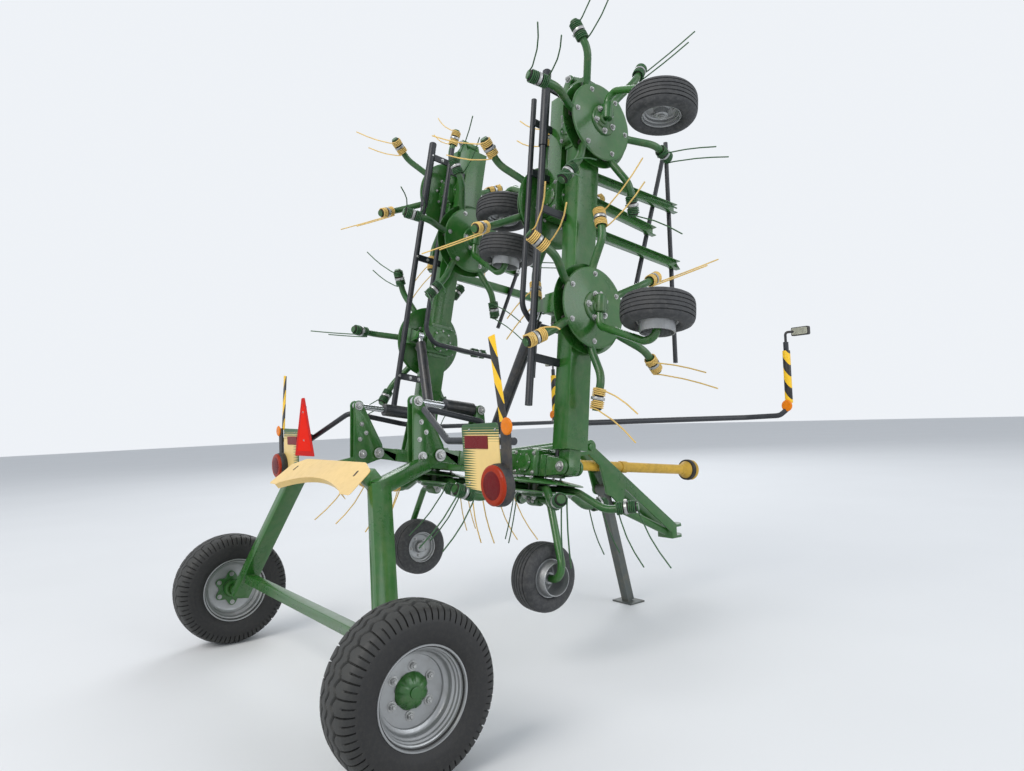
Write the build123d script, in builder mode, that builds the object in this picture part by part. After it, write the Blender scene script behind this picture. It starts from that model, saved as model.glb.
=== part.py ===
# Trailed hay tedder with eight rotors, parked and folded for the road.
# X is to the machine's right, Y forward to the hitch, Z up. Everything is laid out from the
# floor under the transport axle, and write() then moves the origin to the middle of the whole
# width and length.
import os
from math import cos, pi, radians, sin

from build123d import *

os.makedirs("parts", exist_ok=True)

# Stance, in degrees and millimetres
middle_x = 91  # from the centre line to the middle of the whole width: only the right wing has wheels
middle_y = 1597  # from the transport axle to the middle of the whole length
nose_down = 9.75  # pitch of the parked machine about the transport axle
wing_lean = 3.4  # lean of each folded wing inboard, past square to the frame
row_y = 1321  # the rotor row, ahead of the axle
hinge_z = 1199  # height of the wing hinges
hinge_x = 881  # wing hinge out from the middle
seat_gap = 0.3  # between a turning piece and what carries it
running_gap = 8  # between moving pieces that don't touch

# Rotor row
rotor_pitch = 1220  # from one rotor to the next
disc_drop = 165  # front disc under the middle of the beam
first_rotor_x = 1.5 * rotor_pitch - hinge_x  # inner wing rotor out from its hinge
second_rotor_x = first_rotor_x + rotor_pitch
outer_hinge_x = 2560  # outer hinge out from the wing hinge
outer_hinge_rise = 90  # outer hinge over the middle of the beam
outer_rotor_x = second_rotor_x + rotor_pitch - outer_hinge_x

# Rotor
disc_r = 248
disc_t = 8
dish_r = 279
dish_t = 7
dish_rim_z = 60
dish_crown_z = 84
dish_crown_r = 105
hub_r = 72
column_r = 36
arm_count = 6
arm_r = 24
arm_root_r = 95
arm_bend_r = 250
arm_drop_r = 430
arm_drop_z = -62
arm_tip_r = 626
arm_tip_z = -20
coil_r = 40
coil_start_r = 494
coil_length = 52
coil_space = 20
tine_r = 4.5
outer_tine_tip = (830, -350)  # distance from the rotor axis, height from the front disc
inner_tine_tip = (676, -365)

# Gauge wheel under each rotor
gauge_r = 203
gauge_w = 165
gauge_rim_r = 112
gauge_drop = 483  # wheel centre under the front disc
gauge_side = 125  # wheel centre to the side of the rotor axis
outer_gauge_side = 157  # the same under an outer rotor
leg_r = 23
leg_gap = 150  # leg to the side of the wheel centre
leg_over_gap = 170  # the same where the leg passes over its wheel
leg_knee = 125
leg_over_knee = 190
leg_knee_z = 45
leg_foot_z = 385
clamp_r = 58
clamp_h = 42
axle_r = 16

# Beams
beam_w = 166
beam_h = 130
plate_t = 12
cheek = 20
lug_w = 90
hinge_r = 48
hinge_pin_r = 20
outer_pin_r = 16

# Hydraulic cylinders
pin_r = 15
eye_r = 28
eye_w = 44
rod_r = 20
lift_barrel_r = 42
fold_barrel_r = 38

# Transport axle
tyre_r = 376
tyre_w = 260
rim_r = 214
half_track = 1290
stub_r = 34
cross_tube = 60


def bent_bar(points, radius, sides=8, x_dir=None):
    """A bar of regular section that follows straight runs with mitred corners."""
    with BuildPart() as bar:
        with BuildLine() as run:
            Polyline(*points)
        with BuildSketch(Plane(origin=points[0], x_dir=x_dir, z_dir=Vector(points[1]) - Vector(points[0]))):
            RegularPolygon(radius=radius, side_count=sides)
        sweep(path=run.wire(), transition=Transition.RIGHT)
    return bar.part


def box_bar(points, width, height, up=(0, 0, 1)):
    """A straight rectangular bar between two points, its height turned to up."""
    start, end = Vector(points[0]), Vector(points[1])
    along = (end - start).normalized()
    side = Vector(up).cross(along).normalized()
    with BuildPart() as bar:
        with BuildSketch(Plane(origin=start, x_dir=side, z_dir=along)):
            Rectangle(width, height)
        extrude(amount=(end - start).length)
    return bar.part


def channel_bar(start, end, width, height, wall):
    """A channel between two points, with its web on top and its open side down."""
    run = (Vector(*end) - Vector(*start)).normalized()
    with BuildPart() as bar:
        with BuildSketch(Plane(origin=start, x_dir=Vector(0, 0, 1).cross(run), z_dir=run)):
            Rectangle(width, height)
            with Locations((0, -wall)):
                Rectangle(width - 2 * wall, height, mode=Mode.SUBTRACT)
        extrude(amount=(Vector(*end) - Vector(*start)).length)
    return bar.part


def round_bar(start, end, radius):
    """A straight round bar between two points."""
    with BuildPart() as bar:
        with BuildSketch(Plane(origin=start, z_dir=Vector(end) - Vector(start))):
            Circle(radius)
        extrude(amount=(Vector(end) - Vector(start)).length)
    return bar.part


def side_plate(points, x, thickness, bosses=(), bores=()):
    """A plate square to X from x on, with round bosses and bores given as y, z, radius."""
    with BuildPart() as plate:
        with BuildSketch(Plane.YZ.offset(x)):
            with BuildLine():
                Polyline(*points, close=True)
            make_face()
            for y, z, radius in bosses:
                with Locations((y, z)):
                    Circle(radius)
            for y, z, radius in bores:
                with Locations((y, z)):
                    Circle(radius, mode=Mode.SUBTRACT)
        extrude(amount=thickness)
    return plate.part


def cross_plate(points, y, thickness, bosses=(), bores=()):
    """A plate square to Y from y on, with round bosses and bores given as x, z, radius."""
    with BuildPart() as plate:
        with BuildSketch(Plane.XZ.offset(-y)):
            with BuildLine():
                Polyline(*points, close=True)
            make_face()
            for x, z, radius in bosses:
                with Locations((x, z)):
                    Circle(radius)
            for x, z, radius in bores:
                with Locations((x, z)):
                    Circle(radius, mode=Mode.SUBTRACT)
        extrude(amount=-thickness)
    return plate.part


def barrel(length, radius, bore_from):
    """A cylinder's barrel along X from its base pin, which lies on Y."""
    with BuildPart() as body:
        with BuildSketch(Plane.XZ.offset(-eye_w / 2)):
            Circle(eye_r)
            Circle(pin_r + seat_gap, mode=Mode.SUBTRACT)
        extrude(amount=eye_w)
        add(round_bar((eye_r - 5, 0, 0), (2 * eye_r, 0, 0), rod_r))
        add(round_bar((eye_r + 14, 0, 0), (length, 0, 0), radius))
        with BuildSketch(Plane.YZ.offset(length)):
            Circle(rod_r + seat_gap)
        extrude(amount=bore_from - length, mode=Mode.SUBTRACT)
    return body.part


def rod(start, pin):
    """A cylinder's rod along X with the eye at its far end, pin and all."""
    with BuildPart() as body:
        add(round_bar((start, 0, 0), (pin - eye_r + 5, 0, 0), rod_r))
        with BuildSketch(Plane.XZ.offset(-eye_w / 2)):
            with Locations((pin, 0)):
                Circle(eye_r)
        extrude(amount=eye_w)
    return body.part


def along(start, end, pin_axis):
    """Place for a cylinder drawn along X with its pins on Y."""
    run = Vector(*end) - Vector(*start)
    return Plane(origin=start, x_dir=run, z_dir=run.cross(Vector(*pin_axis))).location


def together(*pieces):
    """Separate solids of one node."""
    with BuildPart() as group:
        for piece in pieces:
            add(piece)
    return group.part


def write(part, label, place=Location()):
    """Label a finished piece, put it in its place and write it."""
    placed = part.moved(Location((-middle_x, -middle_y, 0)) * place)
    placed.label = label
    export_step(placed, f"parts/{label}.step")
    return placed


# Frame plane: X to the right, Y forward along the machine, Z square to it, at the wing hinges
pitch = radians(nose_down)
frame_plane = Plane(origin=(0, row_y, hinge_z), x_dir=(1, 0, 0), z_dir=(0, sin(pitch), cos(pitch)))
frame_up = frame_plane.z_dir


def wing_plane(side):
    """A folded wing: X out along its beam, Z away from the ground when it works."""
    lean = radians(wing_lean)
    out = Vector(side, 0, 0)
    along = frame_up * cos(lean) - out * sin(lean)
    inward = out * -cos(lean) - frame_up * sin(lean)
    origin = frame_plane.from_local_coords(Vector(side * hinge_x, 0, 0))
    return Plane(origin=origin, x_dir=along, z_dir=inward)


def outer_plane(side):
    """The outer arm, turned half round about its hinge on the wing."""
    wing = wing_plane(side)
    origin = wing.from_local_coords(Vector(outer_hinge_x, 0, outer_hinge_rise))
    return Plane(origin=origin, x_dir=wing.x_dir * -1, z_dir=wing.z_dir * -1)


def rotor_place(plane, distance, drop, phase):
    return Plane(origin=plane.from_local_coords(Vector(distance, 0, -drop)), x_dir=plane.x_dir,
                 z_dir=plane.z_dir).location * Location((0, 0, 0), (0, 0, phase))


wings = {"right": wing_plane(1), "left": wing_plane(-1)}
outers = {"right": outer_plane(1), "left": outer_plane(-1)}
sides = {"right": 1, "left": -1}

# name, plane, distance along it, drop to the front disc, turn of the first arm, turn of the wheel leg,
# wheel centre to the side, or 0 for a rotor that the photograph shows without its wheel
outer_drop = disc_drop + outer_hinge_rise
rotor_table = [
    ("right_inner", wings["right"], first_rotor_x, disc_drop, -2, 0, gauge_side),
    ("right_middle", wings["right"], second_rotor_x, disc_drop, -28, 0, gauge_side),
    ("right_outer", outers["right"], outer_rotor_x, outer_drop, -2, 0, outer_gauge_side),
    ("left_inner", wings["left"], first_rotor_x, disc_drop, -28, 180, 0),
    ("left_middle", wings["left"], second_rotor_x, disc_drop, -2, 180, 0),
    ("left_outer", outers["left"], outer_rotor_x, outer_drop, -28, 180, outer_gauge_side),
    ("right_centre", frame_plane, rotor_pitch / 2, disc_drop, -28, 180, gauge_side),
    ("left_centre", frame_plane, -rotor_pitch / 2, disc_drop, -2, 0, gauge_side),
]

# Rotor: front disc, dished back plate, hub and arms, with the axis on Z
arm_root_z = disc_t / 2 + arm_r
arm_corner_r = arm_r / cos(pi / 6)
arm_run = [
    (arm_root_r, 0, arm_root_z),
    (arm_bend_r, 0, arm_root_z),
    (arm_drop_r, 0, arm_drop_z),
    (arm_tip_r, 0, arm_tip_z),
]
with BuildPart() as rotor:
    with BuildSketch(Plane.XZ):
        with BuildLine():
            Polyline(
                (column_r + seat_gap, -disc_t / 2),
                (disc_r, -disc_t / 2),
                (disc_r, disc_t / 2),
                (hub_r, disc_t / 2),
                (hub_r, dish_crown_z),
                (dish_crown_r, dish_crown_z),
                (dish_r, dish_rim_z),
                (dish_r, dish_rim_z + dish_t),
                (dish_crown_r, dish_crown_z + dish_t),
                (column_r + seat_gap, dish_crown_z + dish_t),
                close=True,
            )
        make_face()
    revolve(axis=Axis.Z)
    with PolarLocations(0, arm_count):
        add(bent_bar(arm_run, arm_corner_r, 6, (0, 1, 0)))

# Tines: two coils on a sleeve round the end of each arm, each with one long tine
sleeve_bore = arm_corner_r + seat_gap
sleeve_l = 2 * coil_length + coil_space
arm_rise = (arm_tip_z - arm_drop_z) / (arm_tip_r - arm_drop_r)
coil_start_z = arm_drop_z + (coil_start_r - arm_drop_r) * arm_rise
coil_plane = Plane(origin=(coil_start_r, 0, coil_start_z), x_dir=(0, 1, 0), z_dir=(1, 0, arm_rise))
with BuildPart() as tine_pair:
    with BuildSketch(coil_plane):
        RegularPolygon(radius=coil_r, side_count=6)
        RegularPolygon(radius=sleeve_bore, side_count=6, mode=Mode.SUBTRACT)
    extrude(amount=sleeve_l)
    tine_side = coil_r * cos(pi / 6) - tine_r
    for along_sleeve, tip in ((tine_r, inner_tine_tip), (sleeve_l - tine_r, outer_tine_tip)):
        tine_root = coil_plane.from_local_coords(Vector(tine_side, 0, along_sleeve))
        add(bent_bar([tine_root - Vector(0, 0, 8), (tip[0], tine_side, tip[1])], tine_r, 4))
with BuildPart() as tines:
    with PolarLocations(0, arm_count):
        add(tine_pair.part)

# Gauge wheel: tyre and rim, with the axle on X
bead_x = gauge_w / 2 - 22
with BuildPart() as gauge_wheel:
    with BuildSketch(Plane.XY):
        with BuildLine():
            Polyline(
                (-bead_x, gauge_rim_r + seat_gap),
                (bead_x, gauge_rim_r + seat_gap),
                (gauge_w / 2, gauge_rim_r + 40),
                (gauge_w / 2 - 26, gauge_r),
                (-gauge_w / 2 + 26, gauge_r),
                (-gauge_w / 2, gauge_rim_r + 40),
                close=True,
            )
        make_face()
    revolve(axis=Axis.X)
    with BuildSketch(Plane.XY):
        with BuildLine():
            Polyline(
                (-bead_x, gauge_rim_r),
                (-bead_x, gauge_rim_r - 10),
                (-12, gauge_rim_r - 30),
                (-bead_x + 10, axle_r + seat_gap),
                (bead_x - 10, axle_r + seat_gap),
                (12, gauge_rim_r - 30),
                (bead_x, gauge_rim_r - 10),
                (bead_x, gauge_rim_r),
                close=True,
            )
        make_face()
    revolve(axis=Axis.X)

# Leg of a gauge wheel: clamp under the rotor, bent tube and axle
leg_top_z = -disc_t / 2 - running_gap


def gauge_leg(wheel_side, over):
    """Leg of a wheel whose centre is at -wheel_side: beyond the wheel, or over it."""
    foot = leg_over_gap - wheel_side if over else -leg_gap - wheel_side
    knee = leg_over_knee if over else -leg_knee
    axle_tip = -wheel_side - gauge_w / 2 + 20 if over else -wheel_side + gauge_w / 2 - 20
    run = [
        (0, 0, leg_top_z - clamp_h / 2 - 4),
        (knee, 0, -leg_knee_z),
        (foot, 0, -leg_foot_z),
        (foot, 0, -gauge_drop - 30),
    ]
    with BuildPart() as leg:
        with BuildSketch(Plane.XY.offset(leg_top_z)):
            Circle(clamp_r)
        extrude(amount=-clamp_h)
        add(bent_bar(run, leg_r, 6))
        add(round_bar((foot, 0, -gauge_drop), (axle_tip, 0, -gauge_drop), axle_r))
    return leg.part


# Rotor carrier under a beam: gearbox round the beam and the column that the rotor turns on
gear_w = 250
gear_l = 210


def carrier(beam_part_height):
    with BuildPart() as gear:
        with BuildSketch(Plane.XY.offset(disc_drop - beam_h / 2)):
            RectangleRounded(gear_l, gear_w, 30)
        extrude(amount=beam_part_height)
        with BuildSketch(Plane.XY.offset(leg_top_z)):
            Circle(column_r)
        extrude(amount=disc_drop - beam_h / 2 - leg_top_z)
    return gear.part


carrier_h = beam_h + 22

# Wing beam, modelled as it works: X out along it, Y forward, Z up
beam_start = 100
fold_pin = (950, -200, 100)
fold_cut = eye_w / 2 + seat_gap
channel_w = 64
channel_h = 40
channel_t = 6
guard_z = 10
long_tube = ((830, 1005), (2460, 855))  # ends along and before the beam
short_tube = ((1180, 555), (2330, 828))


def tube_y(tube, x):
    """How far before the beam a front tube is at x."""
    (x0, y0), (x1, y1) = tube
    return y0 + (x - x0) * (y1 - y0) / (x1 - x0)


channel_tail = 34  # channel's end past the tube that it carries
# root on the beam, end and reach of each front channel
channels = [(x, end_x, tube_y(tube, end_x) + channel_tail) for x, end_x, tube in (
    (1515, 1530, long_tube),
    (1725, 1705, short_tube),
    (1890, 1950, long_tube),
)]
with BuildPart() as wing_beam:
    with BuildSketch(Plane.XY.offset(-beam_h / 2)):
        with Locations(((outer_hinge_x - 60 + beam_start) / 2, 0)):
            Rectangle(outer_hinge_x - 60 - beam_start, beam_w)
    extrude(amount=beam_h)
    with BuildSketch(Plane.XZ.offset(-lug_w / 2)):
        Circle(hinge_r)
        with Locations(((beam_start + 10) / 2, 0)):
            Rectangle(beam_start + 10, 2 * hinge_r - 4)
        Circle(hinge_pin_r + seat_gap, mode=Mode.SUBTRACT)
    extrude(amount=lug_w)
    add(
        cross_plate(
            [
                (outer_hinge_x - 260, beam_h / 2 - 20),
                (outer_hinge_x - 120, -beam_h / 2),
                (outer_hinge_x - 60, -beam_h / 2),
                (outer_hinge_x + 26, outer_hinge_rise - 20),
                (outer_hinge_x - 26, outer_hinge_rise + 20),
                (outer_hinge_x - 100, beam_h / 2),
            ],
            -lug_w / 2,
            lug_w,
            bosses=[(outer_hinge_x, outer_hinge_rise, 32)],
            bores=[(outer_hinge_x, outer_hinge_rise, outer_pin_r + seat_gap)],
        )
    )
    for distance in (first_rotor_x, second_rotor_x):
        with Locations((distance, 0, -disc_drop)):
            add(carrier(carrier_h))
    web_y = fold_pin[1] - fold_cut - plate_t
    with BuildSketch(Plane.XY.offset(-beam_h / 2)):
        with Locations((fold_pin[0], (web_y - beam_w / 2) / 2)):
            Rectangle(120, -beam_w / 2 - web_y + 10)
    extrude(amount=beam_h / 2 + 20)
    for y in (web_y, fold_pin[1] + fold_cut):
        add(
            cross_plate(
                [(fold_pin[0] - 55, 0), (fold_pin[0] + 55, 0), (fold_pin[0] + 30, fold_pin[2]),
                 (fold_pin[0] - 30, fold_pin[2])],
                y,
                plate_t,
                bosses=[(fold_pin[0], fold_pin[2], 32)],
            )
        )
    for x, end_x, reach in channels:
        root = (x, beam_w / 2 - 10, guard_z)
        add(channel_bar(root, (end_x, reach, guard_z), channel_w, channel_h, channel_t))

# Outer arm, modelled as it works: X out from its hinge
outer_end = outer_rotor_x + 120
outer_start = 90
with BuildPart() as outer_arm:
    with BuildSketch(Plane.XY.offset(-outer_hinge_rise - beam_h / 2)):
        with Locations(((outer_end + outer_start) / 2, 0)):
            Rectangle(outer_end - outer_start, beam_w)
    extrude(amount=beam_h)
    for y in (-lug_w / 2 - running_gap - cheek, lug_w / 2 + running_gap):
        add(
            cross_plate(
                [(0, 32), (150, -outer_hinge_rise + beam_h / 2 - 10), (150, -120), (0, -32)],
                y,
                cheek,
                bosses=[(0, 0, 32)],
            )
        )
    with BuildSketch(Plane.XZ.offset(-lug_w / 2 - running_gap - cheek)):
        Circle(outer_pin_r)
    extrude(amount=lug_w + 2 * running_gap + 2 * cheek)
    with Locations((outer_rotor_x, 0, -disc_drop - outer_hinge_rise)):
        add(carrier(carrier_h))

# Guard of a wing: rail behind the beam on flat arms, and two tubes over the front channels
rail_r = 22
rail_y = -300
rail_z = 40
front_tube_r = 16
front_tube_z = guard_z + channel_h / 2 + front_tube_r + seat_gap
with BuildPart() as wing_guard:
    add(round_bar((330, rail_y, rail_z), (outer_hinge_x - 70, rail_y, rail_z), rail_r))
    for x in (620, 1560, 2380):
        add(box_bar([(x, rail_y, rail_z), (x, -beam_w / 2 - seat_gap, rail_z)], 50, 16))
    for low, high in (long_tube, short_tube):
        add(round_bar((*low, front_tube_z), (*high, front_tube_z), front_tube_r))

# Rail of an outer arm: behind its beam, then round in a bow outside the tine circle
bow_x = outer_rotor_x + outer_tine_tip[0] + 10
bow_y = -235
bow_z = -150
bow_r = 18
bow_run = [
    (150, bow_y, bow_z),
    (bow_x - 90, bow_y, bow_z),
    (bow_x, bow_y + 90, bow_z),
    (bow_x, 420, bow_z),
]
with BuildPart() as outer_rail:
    add(bent_bar(bow_run, bow_r))
    for x in (320, outer_rotor_x - gear_l / 2 - 50):
        add(box_bar([(x, bow_y, bow_z + 16), (x, -beam_w / 2 - seat_gap, bow_z + 16)], 50, 16))

# Transport tyre and rim, with the axle on X and the outer side at +X
with BuildPart() as tyre:
    with BuildSketch(Plane.XY):
        with BuildLine():
            Polyline(
                (-tyre_w / 2 + 28, rim_r - 18 + seat_gap),
                (tyre_w / 2 - 28, rim_r - 18 + seat_gap),
                (tyre_w / 2 - 20, rim_r + seat_gap),
                (tyre_w / 2, rim_r + 70),
                (tyre_w / 2 - 12, tyre_r - 45),
                (tyre_w / 2 - 40, tyre_r - 12),
                (tyre_w / 2 - 90, tyre_r),
                (-tyre_w / 2 + 90, tyre_r),
                (-tyre_w / 2 + 40, tyre_r - 12),
                (-tyre_w / 2 + 12, tyre_r - 45),
                (-tyre_w / 2, rim_r + 70),
                (-tyre_w / 2 + 20, rim_r + seat_gap),
                close=True,
            )
        make_face()
    revolve(axis=Axis.X)
rim_t = 7
disc_x = 40
with BuildPart() as rim:
    with BuildSketch(Plane.XY):
        with BuildLine():
            Polyline(
                (-tyre_w / 2 + 20, rim_r),
                (-tyre_w / 2 + 27, rim_r - 18),
                (disc_x - 60, rim_r - 18),
                (disc_x - 40, rim_r - 40),
                (disc_x + 20, rim_r - 40),
                (disc_x + 40, rim_r - 18),
                (tyre_w / 2 - 27, rim_r - 18),
                (tyre_w / 2 - 20, rim_r),
                (tyre_w / 2 - 20, rim_r - rim_t),
                (tyre_w / 2 - 27, rim_r - 18 - rim_t),
                (disc_x + 44, rim_r - 18 - rim_t),
                (disc_x + 24, rim_r - 40 - rim_t),
                (disc_x + 10, rim_r - 40 - rim_t),
                (disc_x + 10, 60),
                (disc_x + 40, 60),
                (disc_x + 40, 0),
                (disc_x - 10, 0),
                (disc_x - 10, stub_r + 1),
                (-70, stub_r + 1),
                (-70, 62),
                (disc_x - 4, 62),
                (disc_x - 4, rim_r - 40 - rim_t),
                (disc_x - 44, rim_r - 40 - rim_t),
                (disc_x - 64, rim_r - 18 - rim_t),
                (-tyre_w / 2 + 27, rim_r - 18 - rim_t),
                (-tyre_w / 2 + 20, rim_r - rim_t),
                close=True,
            )
        make_face()
    revolve(axis=Axis.X)

# Chassis: two legs from the lift brackets down to the wheel stubs, modelled in place
leg_top = (590, 236, 1168)
leg_foot = (half_track - tyre_w / 2 - 70, 0, tyre_r - 20)
pivot = (390, 716, 1301)
link_pin = (598, 1272)
lift_pin = (584, 1622)
plate_gap = eye_w + 2 * seat_gap
arm_w = plate_gap + 2 * plate_t
pivot_boss_r = 46
cover_plane = Plane(origin=(0, 155, 1215), x_dir=(1, 0, 0), z_dir=(0, -0.62, 0.785))
cross_z = 480
leg_share = (leg_top[2] - cross_z) / (leg_top[2] - leg_foot[2])
cross_x = leg_top[0] + leg_share * (leg_foot[0] - leg_top[0])
cross_y = leg_top[1] + leg_share * (leg_foot[1] - leg_top[1])
plate_outline = [
    (pivot[1] + 44, pivot[2] - 20),
    (pivot[1] + 30, pivot[2] + 60),
    (lift_pin[0] + 35, lift_pin[1]),
    (lift_pin[0] - 35, lift_pin[1]),
    (link_pin[0] - 60, link_pin[1] + 20),
    (link_pin[0] - 50, link_pin[1] - 60),
    (pivot[1], pivot[2] - pivot_boss_r),
]
with BuildPart() as chassis:
    for side in (1, -1):
        top = (side * leg_top[0], leg_top[1], leg_top[2])
        foot = (side * leg_foot[0], leg_foot[1], leg_foot[2])
        add(box_bar([top, foot], 70, 110, up=(0, 1, 0)))
        arm_top = (side * (leg_top[0] + 20), leg_top[1] - 30, leg_top[2] - 8)
        add(box_bar([arm_top, (side * pivot[0], 640, 1258)], arm_w, 84))
        stub_end = side * (half_track + disc_x - 14)
        add(round_bar((side * (leg_foot[0] - 40), 0, tyre_r), (stub_end, 0, tyre_r), stub_r))
        for x in (-plate_gap / 2 - plate_t, plate_gap / 2):
            add(
                side_plate(
                    plate_outline,
                    side * pivot[0] + x,
                    plate_t,
                    bosses=[(lift_pin[0], lift_pin[1], 36), (pivot[1], pivot[2], pivot_boss_r)],
                    bores=[(pivot[1], pivot[2], hinge_pin_r + seat_gap)],
                )
            )
        with BuildSketch(cover_plane.offset(-seat_gap)):
            with Locations((side * 545, 40)):
                Rectangle(60, 90)
        extrude(amount=-95)
    add(box_bar([(-cross_x, cross_y, cross_z), (cross_x, cross_y, cross_z)], cross_tube, cross_tube))

# Cover across the tops of the legs, with its arched lower edge
cover_half = 600
cover_t = 5
with BuildPart() as cover:
    with BuildSketch(cover_plane):
        with BuildLine():
            Polyline((-500, -120), (-cover_half, -120), (-570, 60), (-420, 120))
            Line((-420, 120), (420, 120))
            Polyline((420, 120), (570, 60), (cover_half, -120), (500, -120))
            ThreePointArc((500, -120), (0, 30), (-500, -120))
        make_face()
        with Locations((-430, -10), (430, -10)):
            SlotOverall(90, 26, rotation=70, mode=Mode.SUBTRACT)
    extrude(amount=cover_t)

# Centre frame, modelled square to the machine in the frame plane
pivot_f = frame_plane.to_local_coords(Vector(*pivot))
lift_pin_f = frame_plane.to_local_coords(Vector(pivot[0], *lift_pin))
bar_pivot = (0, 2247, 1257)
bar_pivot_f = frame_plane.to_local_coords(Vector(*bar_pivot))
bar_pivot_r = 25
side_x = 80
side_t = 30
lift_anchor_f = (pivot[0], -356, 301)
fold_base_f = (360, fold_pin[1], 150)
base_web_y = fold_pin[1] - fold_cut - plate_t
with BuildPart() as centre_frame:
    add(box_bar([(-hinge_x + 120, 0, 0), (hinge_x - 120, 0, 0)], beam_w, beam_h))
    for side in (1, -1):
        for y in (-lug_w / 2 - running_gap - cheek, lug_w / 2 + running_gap):
            add(
                cross_plate(
                    [
                        (side * hinge_x, 46),
                        (side * (hinge_x - 130), 60),
                        (side * (hinge_x - 130), -60),
                        (side * hinge_x, -46),
                    ],
                    y,
                    cheek,
                    bosses=[(side * hinge_x, 0, 46)],
                )
            )
        with BuildSketch(Plane.XZ.offset(-lug_w / 2 - running_gap - cheek)):
            with Locations((side * hinge_x, 0)):
                Circle(hinge_pin_r)
        extrude(amount=lug_w + 2 * running_gap + 2 * cheek)
        with Locations((side * rotor_pitch / 2, 0, -disc_drop)):
            add(carrier(carrier_h))
        bar_x = side * pivot[0]
        add(
            side_plate(
                [
                    (-beam_w / 2 + 10, 45),
                    (-beam_w / 2 + 10, -45),
                    (pivot_f.Y, pivot_f.Z - 38),
                    (pivot_f.Y, pivot_f.Z + 38),
                ],
                bar_x - eye_w / 2,
                eye_w,
                bosses=[(pivot_f.Y, pivot_f.Z, 38)],
            )
        )
        pin_near = bar_x - arm_w / 2 - 8
        pin_far = bar_x + arm_w / 2 + 8
        add(round_bar((pin_near, pivot_f.Y, pivot_f.Z), (pin_far, pivot_f.Y, pivot_f.Z), hinge_pin_r))
        add(
            side_plate(
                [(-beam_w / 2 + 10, 45), (-beam_w / 2 + 10, -45), (-470, -40), (-470, 40)],
                bar_x - arm_w / 2,
                arm_w,
            )
        )
        for x in (-plate_gap / 2 - plate_t, plate_gap / 2):
            add(
                side_plate(
                    [
                        (lift_anchor_f[1] - 60, -20),
                        (lift_anchor_f[1] - 28, lift_anchor_f[2]),
                        (lift_anchor_f[1] + 28, lift_anchor_f[2]),
                        (lift_anchor_f[1] + 94, 20),
                        (lift_anchor_f[1] + 94, -20),
                    ],
                    bar_x + x,
                    plate_t,
                    bosses=[(lift_anchor_f[1], lift_anchor_f[2], 32)],
                )
            )
        add(round_bar((pin_near, *lift_anchor_f[1:]), (pin_far, *lift_anchor_f[1:]), pin_r))
        base_x = side * fold_base_f[0]
        with BuildSketch(Plane.XY.offset(-beam_h / 2)):
            with Locations((base_x, (base_web_y - beam_w / 2) / 2)):
                Rectangle(130, -beam_w / 2 - base_web_y + 10)
        extrude(amount=beam_h)
        for y in (base_web_y, fold_pin[1] + fold_cut):
            add(
                cross_plate(
                    [
                        (base_x - 60, 40),
                        (base_x + 60, 40),
                        (base_x + 28, fold_base_f[2]),
                        (base_x - 28, fold_base_f[2]),
                    ],
                    y,
                    plate_t,
                    bosses=[(base_x, fold_base_f[2], 32)],
                )
            )
        pin_end = fold_pin[1] + fold_cut + plate_t + 8
        add(round_bar((base_x, base_web_y - 8, fold_base_f[2]), (base_x, pin_end, fold_base_f[2]), pin_r))
    for x in (-side_x - side_t, side_x):
        add(
            side_plate(
                [
                    (60, 80),
                    (60, -50),
                    (bar_pivot_f.Y, bar_pivot_f.Z - 55),
                    (bar_pivot_f.Y, bar_pivot_f.Z + 55),
                ],
                x,
                side_t,
                bosses=[(bar_pivot_f.Y, bar_pivot_f.Z, 55)],
                bores=[(bar_pivot_f.Y, bar_pivot_f.Z, bar_pivot_r + seat_gap)],
            )
        )

# Main gearbox ahead of the middle of the beam, between the side plates, with its input stub
gear_face_y = 330
input_z = 35
input_r = 18
pto_root = Vector(0, gear_face_y - 5, input_z)
pto_run = frame_plane.to_local_coords(Vector(0, 3560, 980)) - pto_root
pto_place = Plane(origin=pto_root, x_dir=(1, 0, 0), z_dir=pto_run).location
with BuildPart() as main_gearbox:
    with BuildSketch(Plane.XZ.offset(-beam_w / 2 - seat_gap)):
        with Locations((0, 25)):
            RectangleRounded(2 * (side_x - seat_gap), 170, 25)
    extrude(amount=-(gear_face_y - beam_w / 2))
    with BuildSketch(Plane(origin=pto_root, x_dir=(1, 0, 0), z_dir=pto_run)):
        Circle(input_r)
    extrude(amount=85)

# Drive shaft in its guard tube, with a bell at each end and the loose yoke at the front
shaft_r = 40
yoke_r = 17.5
yoke_length = 70
front_bell_r = 98
rear_bell_r = 66
shaft_end = pto_run.length
with BuildPart() as drive_shaft:
    with BuildSketch(Plane.XZ):
        with BuildLine():
            Polyline(
                (input_r + seat_gap, 30),
                (rear_bell_r, 30),
                (rear_bell_r - 8, 90),
                (shaft_r, 150),
                (shaft_r, shaft_end - 190),
                (shaft_r + 14, shaft_end - 170),
                (front_bell_r, shaft_end - 20),
                (front_bell_r, shaft_end),
                (front_bell_r - 4, shaft_end),
                (front_bell_r - 4, shaft_end - 18),
                (shaft_r + 10, shaft_end - 160),
                (yoke_r + 14, shaft_end - 160),
                (yoke_r + 14, shaft_end),
                (yoke_r, shaft_end),
                (yoke_r, shaft_end - yoke_length),
                (0, shaft_end - yoke_length),
                (0, 90),
                (input_r + seat_gap, 90),
                close=True,
            )
        make_face()
    revolve(axis=Axis.Z)

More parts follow.
